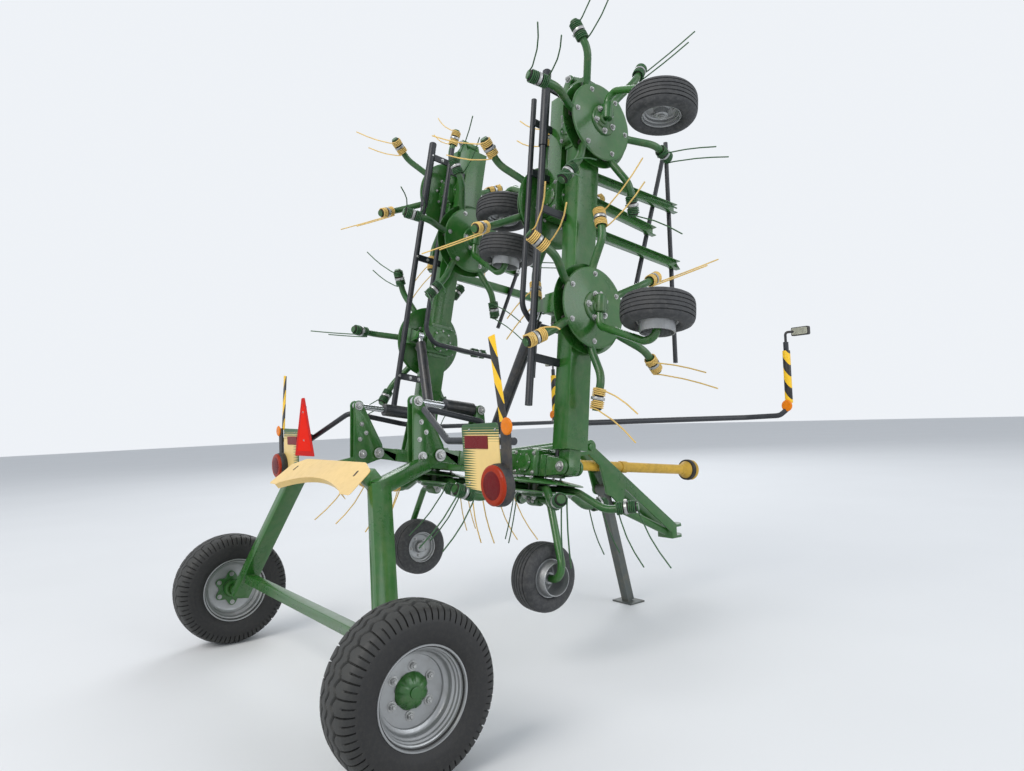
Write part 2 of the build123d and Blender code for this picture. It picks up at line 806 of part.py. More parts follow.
# Drawbar: two arms from the side plates down to the hitch, the lower tube and the stand's plates
hitch = (0, 3294, 494)
stand_top = (0, 2466, 912)
stand_foot = (0, 2694, 0)
stand_run = (Vector(*stand_foot) - Vector(*stand_top)).normalized()
stand_w = 70
stop_r = 25
stop_side = Vector(0, -stand_run.Z, stand_run.Y) * (stand_w / 2 + seat_gap + stop_r)
stop_spot = Vector(*stand_top) + stand_run * 150 + stop_side
bar_x = side_x - seat_gap - 20
bar_t = 20
hitch_r = 16
jaw = 70
with BuildPart() as drawbar:
    for x in (-bar_x - bar_t, bar_x):
        add(
            side_plate(
                [
                    (bar_pivot[1], bar_pivot[2] + 50),
                    (hitch[1] - 60, hitch[2] + 60),
                    (hitch[1] - 60, hitch[2] - 45),
                    (bar_pivot[1], bar_pivot[2] - 55),
                ],
                x,
                bar_t,
                bosses=[(bar_pivot[1], bar_pivot[2], 54)],
            )
        )
        add(
            side_plate(
                [
                    (2360, 1140),
                    (2640, 930),
                    (stop_spot.Y + 40, stop_spot.Z - 20),
                    (stand_top[1], stand_top[2] - 40),
                    (stand_top[1] - 40, stand_top[2]),
                ],
                x,
                bar_t,
                bosses=[(stop_spot.Y, stop_spot.Z, 45), (stand_top[1], stand_top[2], 45)],
            )
        )
    for side in (1, -1):
        pin_end = side * (side_x + side_t + 12)
        add(round_bar((side * bar_x, *bar_pivot[1:]), (pin_end, *bar_pivot[1:]), bar_pivot_r))
    add(round_bar((-bar_x, stand_top[1], stand_top[2]), (bar_x, stand_top[1], stand_top[2]), pin_r))
    add(round_bar((-bar_x, stop_spot.Y, stop_spot.Z), (bar_x, stop_spot.Y, stop_spot.Z), stop_r))
    add(round_bar(stop_spot, (0, hitch[1] - 80, hitch[2] - 15), 32))
    for z in (hitch[2] - jaw / 2 - 20, hitch[2] + jaw / 2):
        with BuildSketch(Plane.XY.offset(z)):
            with Locations((0, hitch[1] - 60)):
                Rectangle(2 * (bar_x + bar_t), 120)
            with Locations((0, hitch[1])):
                Circle(bar_x)
                Circle(hitch_r, mode=Mode.SUBTRACT)
        extrude(amount=20)
    with BuildSketch(Plane.XY.offset(hitch[2] - jaw / 2 - 10)):
        with Locations((0, hitch[1] - 90)):
            Rectangle(2 * (bar_x + bar_t), 60)
    extrude(amount=jaw + 20)

# Parking stand, turning on its pin between the drawbar's plates
with BuildPart() as stand:
    add(box_bar([stand_top, (0, stand_foot[1] - 3, 14)], stand_w, stand_w, up=(0, 1, 0)))
    add(round_bar((-bar_x + seat_gap, *stand_top[1:]), (bar_x - seat_gap, *stand_top[1:]), 38))
    with BuildSketch(Plane.XY):
        with Locations((0, stand_foot[1])):
            Rectangle(200, 160)
    extrude(amount=12)
    with BuildSketch(Plane.YZ.offset(-bar_x)):
        with Locations((stand_top[1], stand_top[2])):
            Circle(pin_r + seat_gap)
    extrude(amount=2 * bar_x, mode=Mode.SUBTRACT)

# Front marker arms and the carriers of the lamp boards: bent tubes on the frame, right side
marker_r = 18
marker_post = (1250, 3090)
marker_x = 738
marker_rise = 266
marker_run = [
    frame_plane.from_local_coords(Vector(marker_x, 30, beam_h / 2 + seat_gap)),
    frame_plane.from_local_coords(Vector(marker_x, 30, marker_rise)),
    Vector(1040, 2870, 1440),
    Vector(marker_post[0] - 40, marker_post[1] - 60, 1445),
    Vector(marker_post[0], marker_post[1], 1500),
    Vector(marker_post[0], marker_post[1], 1960),
]
board = (1080, 1380, 1155, 1480)
board_y = 440
board_t = 6
carrier_y = board_y + board_t + marker_r + seat_gap
anchor_face_x = pivot[0] + plate_gap / 2 + plate_t + seat_gap
carrier_run = [
    frame_plane.from_local_coords(Vector(anchor_face_x, lift_anchor_f[1], lift_anchor_f[2] - 75)),
    frame_plane.from_local_coords(Vector(anchor_face_x + 60, lift_anchor_f[1], lift_anchor_f[2] - 75)),
    frame_plane.from_local_coords(Vector(anchor_face_x + 60, -800, 250)),
    Vector(board[0] - 160, carrier_y, 1400),
    Vector(board[1] + 90, carrier_y, 1400),
]
triangle_x = 870
triangle_y = 400
triangle_t = 3
stem_r = 11
with BuildPart() as marker_arm:
    add(bent_bar(marker_run, marker_r, 6))
with BuildPart() as lamp_carrier:
    add(bent_bar(carrier_run, marker_r, 6))
    for x in (board[0] + 70, board[1] - 60):
        add(box_bar([(x, carrier_y, 1400), (x, board_y + board_t + seat_gap, 1400)], 40, 50))
knee, lamp_end = carrier_run[2], carrier_run[3]
stem_foot = knee + (lamp_end - knee) * ((triangle_x - knee.X) / (lamp_end.X - knee.X))
stem_y = triangle_y + triangle_t + seat_gap + stem_r
stem_run = [
    (-triangle_x, stem_foot.Y, stem_foot.Z),
    (-triangle_x, stem_y, stem_foot.Z + 30),
    (-triangle_x, stem_y, 1640),
]
with BuildPart() as triangle_stem:
    add(bent_bar(stem_run, stem_r, 8))

# Lamp board with its lamp, the striped posts, the front lamp and the triangle, right side
post_foot = (board[1] + 36, 1478)
post_top = (post_foot[0] - 70, 1890)
with BuildPart() as lamp_board:
    add(
        cross_plate(
            [
                (board[0], board[3]),
                (board[1], board[3] + 8),
                (board[1] + 15, board[2]),
                (board[0] + 20, board[2] + 20),
            ],
            board_y,
            board_t,
        )
    )
lamp_x = board[1] + 30
lamp_z = 1205
lamp_depth = 48
mount_y = carrier_y - marker_r - seat_gap
post_t = 6
post_y = mount_y + seat_gap + post_t / 2
with BuildPart() as tail_lamp:
    with BuildSketch(Plane.XZ.offset(seat_gap - board_y)):
        with Locations((lamp_x, lamp_z)):
            Circle(80)
    extrude(amount=lamp_depth)
    with BuildSketch(Plane.XZ.offset(seat_gap - board_y + lamp_depth)):
        with Locations((lamp_x, lamp_z)):
            Circle(66)
    extrude(amount=18)
    with BuildSketch(Plane.XZ.offset(8 - board_y)):
        with Locations((board[1] + 60, 1340)):
            Rectangle(66, 300)
    extrude(amount=board_y - 8 - mount_y)
    with BuildSketch(Plane.XZ.offset(8 - board_y)):
        with Locations((board[1] + 83, 1469)):
            Circle(40)
    extrude(amount=10)
with BuildPart() as rear_post:
    post_run = [(post_foot[0], post_y, post_foot[1]), (post_top[0], post_y, post_top[1])]
    add(box_bar(post_run, 50, post_t, up=(0, 1, 0)))
with BuildPart() as front_post:
    add(round_bar((marker_post[0], marker_post[1], 1530), (marker_post[0], marker_post[1], 1900), 26))
    with BuildSketch(Plane.XY.offset(1500)):
        with Locations(marker_post):
            Circle(marker_r + seat_gap)
    extrude(amount=500, mode=Mode.SUBTRACT)
with BuildPart() as front_lamp:
    with BuildSketch(Plane.XZ.offset(-marker_post[1] - 30)):
        with Locations((marker_post[0] + 90, 2030)):
            RectangleRounded(130, 60, 12)
    extrude(amount=-36)
    add(round_bar((*marker_post, 1960 + seat_gap), (*marker_post, 2030), 9))
    add(round_bar((*marker_post, 2030), (marker_post[0] + 60, marker_post[1] + 40, 2030), 9))
with BuildPart() as warning_triangle:
    with BuildSketch(Plane.XZ.offset(-triangle_y)):
        with BuildLine():
            Polyline(
                (-triangle_x - 180, 1290),
                (-triangle_x + 180, 1290),
                (-triangle_x + 30, 1700),
                (-triangle_x - 30, 1700),
                close=True,
            )
        make_face()
    extrude(amount=-triangle_t)

# Cylinders
lift_reach = (lift_pin_f - Vector(*lift_anchor_f)).length
fold_tip = {}
fold_base = {}
for name, side in sides.items():
    pin_spot = (fold_pin[0], side * fold_pin[1], fold_pin[2])
    fold_tip[name] = wings[name].from_local_coords(Vector(*pin_spot))
    fold_base[name] = frame_plane.from_local_coords(Vector(side * fold_base_f[0], *fold_base_f[1:]))
fold_reach = (fold_tip["right"] - fold_base["right"]).length
with BuildPart() as lift_barrel:
    add(barrel(240, lift_barrel_r, 60))
with BuildPart() as lift_rod:
    add(rod(206, lift_reach))
with BuildPart() as fold_barrel:
    add(barrel(800, fold_barrel_r, 100))
with BuildPart() as fold_rod:
    add(rod(130, fold_reach))

lift_barrels = []
lift_rods = []
for side in (1, -1):
    start = frame_plane.from_local_coords(Vector(side * lift_anchor_f[0], *lift_anchor_f[1:]))
    place = along(start, (side * pivot[0], *lift_pin), (1, 0, 0))
    lift_barrels.append(lift_barrel.part.moved(place))
    lift_rods.append(lift_rod.part.moved(place))
write(together(*lift_barrels), "lift_barrels")
write(together(*lift_rods), "lift_rods")
for name in sides:
    place = along(fold_base[name], fold_tip[name], frame_plane.y_dir)
    write(fold_barrel.part, f"fold_barrel_{name}", place)
    write(fold_rod.part, f"fold_rod_{name}", place)

legs = {}
for name, plane, distance, drop, phase, turn, wheel_side in rotor_table:
    place = rotor_place(plane, distance, drop, phase)
    write(rotor.part, f"rotor_{name}", place)
    write(tines.part, f"tines_{name}", place)
    if wheel_side:
        level = rotor_place(plane, distance, drop, turn)
        write(gauge_wheel.part, f"gauge_wheel_{name}", level * Location((-wheel_side, 0, -gauge_drop)))
        legs[name] = gauge_leg(wheel_side, name == "right_middle").moved(level)
for body, names in (
    ("right", ("right_inner", "right_middle")),
    ("centre", ("right_centre", "left_centre")),
    ("right_outer", ("right_outer",)),
    ("left_outer", ("left_outer",)),
):
    write(together(*[legs[name] for name in names]), f"gauge_legs_{body}")

for name, side in sides.items():
    for piece, label, plane in (
        (wing_beam.part, "wing_beam", wings[name]),
        (outer_arm.part, "outer_arm", outers[name]),
        (wing_guard.part, "wing_guard", wings[name]),
        (outer_rail.part, "outer_rail", outers[name]),
    ):
        hand = piece if side > 0 else mirror(piece, about=Plane.XZ)
        write(hand, f"{label}_{name}", plane.location)
    turn = Location((side * half_track, 0, tyre_r), (0, 0, 0 if side > 0 else 180))
    write(tyre.part, f"tyre_{name}", turn)
    write(rim.part, f"rim_{name}", turn)

write(chassis.part, "chassis")
write(cover.part, "cover")
write(centre_frame.part, "centre_frame", frame_plane.location)
write(main_gearbox.part, "main_gearbox", frame_plane.location)
write(drive_shaft.part, "drive_shaft", frame_plane.location * pto_place)
write(drawbar.part, "drawbar")
write(stand.part, "stand")

for pieces, label in (
    ((marker_arm.part, lamp_carrier.part), "marker_arms"),
    ((lamp_board.part,), "lamp_boards"),
    ((tail_lamp.part,), "tail_lamps"),
    ((rear_post.part, front_post.part), "warning_posts"),
    ((front_lamp.part,), "front_lamps"),
):
    right = together(*pieces)
    left = mirror(right, about=Plane.YZ)
    if label == "marker_arms":
        left = together(left, triangle_stem.part)
    write(together(right, left), label)
write(warning_triangle.part, "warning_triangle")
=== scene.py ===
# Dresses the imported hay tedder: smooth tubes, sprung tines, tread, lamps and paint over its CAD frame.
import math

import bmesh
import bpy
import numpy as np
from mathutils import Matrix, Vector


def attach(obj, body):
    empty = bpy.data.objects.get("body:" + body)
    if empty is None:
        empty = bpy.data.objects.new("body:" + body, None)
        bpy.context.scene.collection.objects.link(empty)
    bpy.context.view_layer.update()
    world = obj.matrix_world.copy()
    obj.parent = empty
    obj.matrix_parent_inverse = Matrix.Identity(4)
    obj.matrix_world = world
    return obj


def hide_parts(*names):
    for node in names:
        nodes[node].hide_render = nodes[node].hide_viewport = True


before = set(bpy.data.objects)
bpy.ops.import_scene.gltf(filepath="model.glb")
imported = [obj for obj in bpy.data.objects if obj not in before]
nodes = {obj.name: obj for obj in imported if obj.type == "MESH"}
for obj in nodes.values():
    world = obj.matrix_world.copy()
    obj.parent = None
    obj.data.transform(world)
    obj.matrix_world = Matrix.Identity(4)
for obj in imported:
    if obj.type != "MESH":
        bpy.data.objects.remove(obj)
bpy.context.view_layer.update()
scene = bpy.context.scene
print("frame loaded,", len(nodes), "nodes")


def placeAt(origin, xDir, zDir):
    z = Vector(zDir).normalized()
    x = Vector(xDir)
    x = (x - z * x.dot(z)).normalized()
    place = Matrix((x, z.cross(x), z)).transposed().to_4x4()
    place.translation = Vector(origin)
    return place


def addObject(name, data):
    made = bpy.data.objects.new(name, data)
    scene.collection.objects.link(made)
    return made


# Camera where the photograph was taken from
view = {"place": (3.868, -3.062, 1.512), "right": (0.611, 0.791, -0.039), "back": (0.790, -0.612, -0.044),
        "lens": 24.64, "sensor": 36, "reach": 300}
camera = addObject("camera", bpy.data.cameras.new("camera"))
camera.matrix_world = placeAt(view["place"], view["right"], view["back"])
camera.data.lens = view["lens"]
camera.data.sensor_width = view["sensor"]
camera.data.clip_end = view["reach"]
scene.camera = camera

# Where the machine's parts stand, as the CAD has them, in metres and degrees
machine = {
    "middleX": 0.091, "middleY": 1.597, "rowY": -0.276, "hingeX": 0.881, "hingeZ": 1.199,
    "outerHinge": (2.56, 0, 0.09), "noseDown": 9.75, "wingLean": 3.4, "wheel": (1.29, 0, 0.376), "legX": 0.39,
    "wingRotors": (0.949, 2.169), "outerRotor": 0.829, "frameRotor": 0.61,  # distances along the beams
    "drop": 0.165, "outerDrop": 0.255,  # from a beam's line down to its rotors' front discs
}
noseDown = math.radians(machine["noseDown"])
wingLean = math.radians(machine["wingLean"])
frameMiddle = (-machine["middleX"], machine["rowY"], machine["hingeZ"])
framePlace = placeAt(frameMiddle, (1, 0, 0), (0, math.sin(noseDown), math.cos(noseDown)))
frameUp = framePlace.to_3x3() @ Vector((0, 0, 1))


def wingPlace(side):
    out = Vector((side, 0, 0))
    along = frameUp * math.cos(wingLean) - out * math.sin(wingLean)
    inward = out * -math.cos(wingLean) - frameUp * math.sin(wingLean)
    return placeAt(framePlace @ Vector((side * machine["hingeX"], 0, 0)), along, inward)


def outerPlace(side):
    wing = wingPlace(side)
    wingTurn = wing.to_3x3()
    hinge = wing @ Vector(machine["outerHinge"])
    return placeAt(hinge, wingTurn @ Vector((-1, 0, 0)), wingTurn @ Vector((0, 0, -1)))


def move(x=0, y=0, z=0):
    return Matrix.Translation((x, y, z))


def turn(degrees, axis):
    return Matrix.Rotation(math.radians(degrees), 4, axis)


def machinePoint(x, y, z):
    return Vector((x - machine["middleX"], y - machine["middleY"], z))


still = Matrix.Identity(4)
alongX = turn(90, "Y")
standUp = turn(90, "X")  # stands a plate drawn in X and Y up, its face to the rear
upward, downward = (0, 0, 1), (0, 0, -1)
sideName = {1: "right", -1: "left"}
beamPlace = {side: wingPlace(side) for side in (1, -1)}
armPlace = {side: outerPlace(side) for side in (1, -1)}
mirrors = {1: still, -1: move(-2 * machine["middleX"], 0, 0) @ Matrix.Diagonal((-1, 1, 1, 1))}


def onSide(side, x, y, z):  # a spot on the machine's right side, or its mirror image on the left
    return mirrors[side] @ Matrix.Translation(machinePoint(x, y, z))


# Node trees
def socketOf(sockets, label):
    return next((s for s in sockets if s.identifier == label), None) or sockets[label]


def fill(tree, socket, value):  # another node's output is linked, and anything else is set
    if isinstance(value, bpy.types.NodeSocket):
        tree.links.new(value, socket)
    else:
        socket.default_value = value


def put(tree, kind, feeds=None, **settings):
    node = tree.nodes.new(kind)
    for key, value in settings.items():
        setattr(node, key, value)
    for label, value in (feeds or {}).items():
        fill(tree, socketOf(node.inputs, label), value)
    return node


def out(node, label=None):
    return socketOf(node.outputs, label) if label else node.outputs[0]


def calc(tree, operation, first, second=0.0):
    node = put(tree, "ShaderNodeMath", operation=operation)
    fill(tree, node.inputs[0], first)
    fill(tree, node.inputs[1], second)
    return out(node)


def plus(tree, first, second):
    return calc(tree, "ADD", first, second)


def times(tree, first, second):
    return calc(tree, "MULTIPLY", first, second)


def spread(tree, value, low, high, toLow, toHigh):
    feeds = {"Value": value, "From Min": low, "From Max": high, "To Min": toLow, "To Max": toHigh}
    return out(put(tree, "ShaderNodeMapRange", feeds))


def colourMix(tree, factor, first, second, how="MIX"):
    feeds = {"Factor_Float": factor, "A_Color": first, "B_Color": second}
    return out(put(tree, "ShaderNodeMix", feeds, data_type="RGBA", blend_type=how), "Result_Color")


def noise(tree, spot, scale, detail, rough=0.5):
    feeds = {"Vector": spot, "Scale": scale, "Detail": detail, "Roughness": rough}
    return out(put(tree, "ShaderNodeTexNoise", feeds))


# Paints, rubber and metal, with colours as red, green and blue up to 255
def rgb(*colour):
    shares = [value / 255 for value in colour]
    return (*(share / 12.92 if share <= 0.04045 else ((share + 0.055) / 1.055) ** 2.4 for share in shares), 1)


# tone: broad light and dark, dust: how much gathers, chips: worn spots, grain and bump: the fine surface,
# coat: clear varnish, shine: how strongly a bare surface mirrors
def finishOf(name, colour, rough, metal=0.0, tone=0.1, toneScale=2.5, dust=0.2, dustColour=(150, 135, 110),
             grain=260, bump=0.08, coat=0.0, chips=0.0, chipColour=(150, 150, 145), pattern=None, relief=None,
             shine=0.5):
    material = bpy.data.materials.new(name)
    material.use_nodes = True
    tree = material.node_tree
    shader = tree.nodes["Principled BSDF"]
    spot = out(put(tree, "ShaderNodeTexCoord"), "Object")
    broad = noise(tree, spot, toneScale, 4.0)
    specks = noise(tree, spot, toneScale * 7, 8.0, 0.7)
    fine = noise(tree, spot, grain, 2.0)
    shade = spread(tree, broad, 0.3, 0.7, 1 - tone, 1 + tone)
    shades = out(put(tree, "ShaderNodeCombineColor", {"Red": shade, "Green": shade, "Blue": shade}))
    base = pattern(tree, spot) if pattern else rgb(*colour)
    dusty = times(tree, spread(tree, specks, 0.45, 0.72, 0, 1), dust)
    coloured = colourMix(tree, dusty, colourMix(tree, 1.0, base, shades, "MULTIPLY"), rgb(*dustColour))
    if chips:
        flakes = spread(tree, noise(tree, spot, 38.0, 6.0, 0.75), 0.73 - chips, 0.75 - chips, 0, 0.8)
        coloured = colourMix(tree, flakes, coloured, rgb(*chipColour))
    height = plus(tree, fine, relief(tree, spot)) if relief else fine
    strength = min(1.0, bump * (6 if relief else 1))
    dent = put(tree, "ShaderNodeBump", {"Strength": strength, "Distance": 0.002, "Height": height})
    polish = spread(tree, broad, 0.3, 0.7, rough - 0.05, rough + 0.06)
    roughness = plus(tree, polish, times(tree, dusty, 0.8))
    facts = {"Base Color": coloured, "Roughness": roughness, "Normal": out(dent), "Metallic": metal,
             "Coat Weight": coat, "Coat Roughness": 0.12, "Specular IOR Level": shine}
    for label, value in facts.items():
        fill(tree, shader.inputs[label], value)
    return material


def splitSpot(tree, spot):
    return tuple(put(tree, "ShaderNodeSeparateXYZ", {"Vector": spot}).outputs)


def fromMiddle(tree, x):  # distance to either side of the machine's centre line
    return calc(tree, "ABSOLUTE", plus(tree, x, machine["middleX"]))


stripeLook = {"lean": 1.5, "perMetre": 6.2, "yellow": (246, 196, 20), "black": (24, 24, 26)}


def stripedBand(tree, spot):  # diagonal yellow and black bands that climb a post
    x, y, z = splitSpot(tree, spot)
    climb = plus(tree, z, times(tree, fromMiddle(tree, x), stripeLook["lean"]))
    band = calc(tree, "FRACT", times(tree, climb, stripeLook["perMetre"]))
    share = spread(tree, band, 0.49, 0.51, 0, 1)
    return colourMix(tree, share, rgb(*stripeLook["yellow"]), rgb(*stripeLook["black"]))


boardLook = {"left": 1.08, "high": 1.488, "lines": 170, "cream": (236, 205, 132), "green": (34, 84, 38)}


def boardFade(tree, spot):  # cream, with green that comes in fine lines from the inner and upper edges
    x, y, z = splitSpot(tree, spot)
    left, high = boardLook["left"], boardLook["high"]
    fromSide = spread(tree, fromMiddle(tree, x), left - 0.01, left + 0.15, 1.15, -0.25)
    fromTop = spread(tree, z, high - 0.10, high - 0.005, -0.1, 1.25)
    line = calc(tree, "PINGPONG", times(tree, z, boardLook["lines"]), 1.0)
    edge = calc(tree, "SUBTRACT", calc(tree, "MAXIMUM", fromSide, fromTop), line)
    share = spread(tree, edge, -0.08, 0.08, 0, 1)
    return colourMix(tree, share, rgb(*boardLook["cream"]), rgb(*boardLook["green"]))


treadLook = {"wall": 0.300, "crown": 0.368, "dark": (22, 22, 23), "grey": (46, 47, 46)}


def treadFade(tree, spot):  # dark side walls and a crown that the road has greyed
    axle = machinePoint(*machine["wheel"])
    x, y, z = splitSpot(tree, spot)
    away, up = calc(tree, "SUBTRACT", y, axle.y), calc(tree, "SUBTRACT", z, axle.z)
    radius = calc(tree, "SQRT", plus(tree, times(tree, away, away), times(tree, up, up)))
    worn = spread(tree, radius, treadLook["wall"], treadLook["crown"], 0, 1)
    return colourMix(tree, worn, rgb(*treadLook["dark"]), rgb(*treadLook["grey"]))


def ringRelief(tree, spot):  # fine turned rings in a pressed wheel
    return times(tree, calc(tree, "SINE", times(tree, splitSpot(tree, spot)[0], 900)), 0.3)


def prismRelief(tree, spot):  # small prisms moulded into a lens
    return out(put(tree, "ShaderNodeTexVoronoi", {"Vector": spot, "Scale": 130.0}))


def lensOf(name, colour, rough, **facts):
    return finishOf(name, colour, rough, relief=prismRelief, **facts)


paint = {
    "green": finishOf("implement green", (36, 94, 30), 0.28, tone=0.18, dust=0.12, coat=0.35, chips=0.015),
    "armGreen": finishOf("arm green", (32, 86, 32), 0.34, tone=0.18, dust=0.18, coat=0.2, chips=0.03),
    "cream": finishOf("cream paint", (236, 202, 132), 0.4, tone=0.06, dust=0.14, dustColour=(150, 130, 95),
                      coat=0.15),
    "creamSpring": finishOf("cream spring coating", (228, 192, 110), 0.5, tone=0.12, toneScale=9, dust=0.26,
                            dustColour=(140, 118, 80), chips=0.03, chipColour=(90, 84, 74)),
    "greenSpring": finishOf("green spring coating", (34, 84, 44), 0.46, tone=0.12, toneScale=9, dust=0.18,
                            chips=0.03, chipColour=(90, 90, 84)),
    "grey": finishOf("anthracite paint", (26, 30, 36), 0.4, tone=0.12, dust=0.12, dustColour=(110, 112, 114),
                     chips=0.02),
    "standGrey": finishOf("stand grey", (84, 90, 88), 0.5, tone=0.14, dust=0.25, metal=0.2),
    "barrel": finishOf("cylinder black", (36, 39, 44), 0.34, metal=0.2, dust=0.14, coat=0.2),
    "chrome": finishOf("chromed rod", (196, 198, 202), 0.14, metal=1.0, tone=0.04, dust=0.05, bump=0.02),
    "zinc": finishOf("zinc plate", (176, 177, 176), 0.32, metal=0.8, tone=0.16, toneScale=30,
                     dustColour=(96, 92, 84)),
    "cast": finishOf("cast iron", (46, 50, 48), 0.58, tone=0.2, toneScale=12, dust=0.3, bump=0.3, grain=420),
    "silver": finishOf("wheel silver", (160, 162, 163), 0.32, metal=0.6, tone=0.12, dustColour=(112, 106, 94),
                       relief=ringRelief, bump=0.03),
    "tyre": finishOf("small tyre rubber", (48, 49, 51), 0.6, tone=0.26, toneScale=6, dust=0.4,
                     dustColour=(116, 116, 114), bump=0.25, grain=500),
    "tread": finishOf("large tyre rubber", (27, 27, 28), 0.56, tone=0.22, toneScale=8,
                      dustColour=(88, 86, 80), bump=0.28, grain=420, pattern=treadFade),
    # Black rubber, also used as painted shade: the dark sleeves under the tine coils and the cover slots
    "rubber": finishOf("black rubber and painted shade", (20, 20, 21), 0.6, tone=0.2, bump=0.15),
    "plastic": finishOf("grey lamp housing", (34, 36, 39), 0.5, bump=0.15, grain=700),
    "yellow": finishOf("guard yellow", (206, 164, 52), 0.46, tone=0.14, dust=0.4, dustColour=(120, 98, 62),
                       bump=0.12),
    "redLens": lensOf("red lens", (98, 3, 9), 0.3, tone=0.12, toneScale=12, dust=0.04, bump=0.04, shine=0.2),
    "orangeLens": lensOf("orange lens", (150, 40, 8), 0.3, tone=0.2, toneScale=12, dust=0.04, bump=0.04,
                         shine=0.2),
    "amber": lensOf("amber reflector", (226, 124, 12), 0.26, dust=0.04, bump=0.05, shine=0.25),
    "whiteLens": lensOf("clear lens", (168, 168, 152), 0.16, tone=0.2, toneScale=30, dust=0.1, bump=0.06,
                        coat=0.3),
    "reflector": lensOf("dark red reflector", (112, 10, 16), 0.32, dust=0.06, bump=0.04, shine=0.25),
    "orangeRed": finishOf("slow sign orange", (230, 32, 6), 0.6, tone=0.05, dust=0.03, shine=0.08),
    "signRed": finishOf("slow sign red border", (196, 20, 12), 0.5, tone=0.06, dust=0.03, shine=0.1),
    "stripes": finishOf("striped post", stripeLook["yellow"], 0.38, tone=0.06, dust=0.12,
                        pattern=stripedBand),
    "board": finishOf("lined board", boardLook["cream"], 0.36, tone=0.05, dust=0.1, coat=0.15,
                      pattern=boardFade),
}
print("materials made:", len(paint))


# Shapes
def closeUp(mesh, gap=1e-6):
    shell = bmesh.new()
    shell.from_mesh(mesh)
    bmesh.ops.remove_doubles(shell, verts=shell.verts, dist=gap)
    bmesh.ops.recalc_face_normals(shell, faces=shell.faces)
    shell.to_mesh(mesh)
    shell.free()
    return mesh


def fromLists(name, points, faces):
    mesh = bpy.data.meshes.new(name)
    mesh.from_pydata([tuple(p) for p in points], [], faces)
    return closeUp(mesh)


def softened(outline, size, steps=3):  # an outline with its corners rounded
    soft = []
    count = len(outline)
    for i, corner in enumerate(outline):
        here = Vector(corner)
        back = Vector(outline[i - 1]) - here
        ahead = Vector(outline[(i + 1) % count]) - here
        reach = min(size, back.length * 0.45, ahead.length * 0.45)
        start, end = here + back.normalized() * reach, here + ahead.normalized() * reach
        for step in range(steps + 1):
            t = step / steps
            soft.append(tuple(start * (1 - t) ** 2 + here * 2 * t * (1 - t) + end * t ** 2))
    return soft


def lathe(name, profile, count=48, lobes=None):  # a closed profile of radius and height, turned about Z
    points, faces = [], []
    size = len(profile)
    for step in range(count):
        angle = 2 * math.pi * step / count
        for i, (radius, height) in enumerate(profile):
            reach = radius * (lobes(i, angle) if lobes else 1)
            points.append((reach * math.cos(angle), reach * math.sin(angle), height))
        here, ahead = step * size, (step + 1) % count * size
        for i in range(size):
            j = (i + 1) % size
            faces.append((here + i, ahead + i, ahead + j, here + j))
    return fromLists(name, points, faces)


def turned(name, profile, soft, steps, count):  # the same, with the profile's corners rounded
    return lathe(name, softened(profile, soft, steps), count)


def ring(name, inner, outer, low, high, soft, steps, count):  # a turned ring or sleeve between two heights
    return turned(name, [(inner, low), (outer, low), (outer, high), (inner, high)], soft, steps, count)


def plate(name, outline, thickness, soft=0.0015):  # an outline in X and Y, from Z 0 up, with eased edges
    count = len(outline)
    area = sum(outline[i - 1][0] * outline[i][1] - outline[i][0] * outline[i - 1][1] for i in range(count))
    if area < 0:
        outline = outline[::-1]
    inner = []
    for i in range(count):
        back = (Vector(outline[i]) - Vector(outline[i - 1])).normalized()
        ahead = (Vector(outline[(i + 1) % count]) - Vector(outline[i])).normalized()
        normal = Vector((-back.y - ahead.y, back.x + ahead.x))
        inner.append(Vector(outline[i]) + normal.normalized() * soft / max(0.5, normal.length / 2))
    rows = [(inner, 0), (outline, soft), (outline, thickness - soft), (inner, thickness)]
    points = [(p[0], p[1], z) for line, z in rows for p in line]
    faces = [tuple(range(count))[::-1], tuple(range(3 * count, 4 * count))]
    for low in (0, count, 2 * count):
        for i in range(count):
            j = (i + 1) % count
            faces.append((low + i, low + j, low + count + j, low + count + i))
    return fromLists(name, points, faces)


def panelOf(name, x, y, thickness, corner, steps, soft):  # a plate about its middle with rounded corners
    corners = [(-x / 2, -y / 2), (x / 2, -y / 2), (x / 2, y / 2), (-x / 2, y / 2)]
    return plate(name, softened(corners, corner, steps), thickness, soft)


def block(name, x, y, z, soft=0.003):  # a box with eased edges, about the middle
    mesh = panelOf(name, x, y, z, soft * 1.5, 2, soft)
    mesh.transform(move(z=-z / 2))
    return mesh


def nodeShell(node, soft=0.0, sharp=28):  # a CAD node's shape, its triangles joined and its edges eased
    mesh = nodes[node].data.copy()
    if "custom_normal" in mesh.attributes:
        mesh.attributes.remove(mesh.attributes["custom_normal"])
    shell = bmesh.new()
    shell.from_mesh(mesh)
    bmesh.ops.remove_doubles(shell, verts=shell.verts, dist=2e-5)
    if soft:
        flat = math.radians(1.5)
        bmesh.ops.dissolve_limit(shell, angle_limit=flat, verts=shell.verts, edges=shell.edges)
        shared = [e for e in shell.edges if len(e.link_faces) == 2]
        keen = [e for e in shared if e.calc_face_angle(0) > math.radians(sharp)]
        bmesh.ops.bevel(shell, geom=keen, offset=soft, segments=2, profile=0.5, affect="EDGES",
                        clamp_overlap=False)
    shell.to_mesh(mesh)
    shell.free()
    return mesh


# Geometry Nodes trees
def newTree(name, **inputs):
    tree = bpy.data.node_groups.new(name, "GeometryNodeTree")
    for label, kind in {"Geometry": "Geometry", **inputs, "Finish": "Material"}.items():
        tree.interface.new_socket(label, in_out="INPUT", socket_type="NodeSocket" + kind)
    tree.interface.new_socket("Geometry", in_out="OUTPUT", socket_type="NodeSocketGeometry")
    return tree, put(tree, "NodeGroupInput").outputs


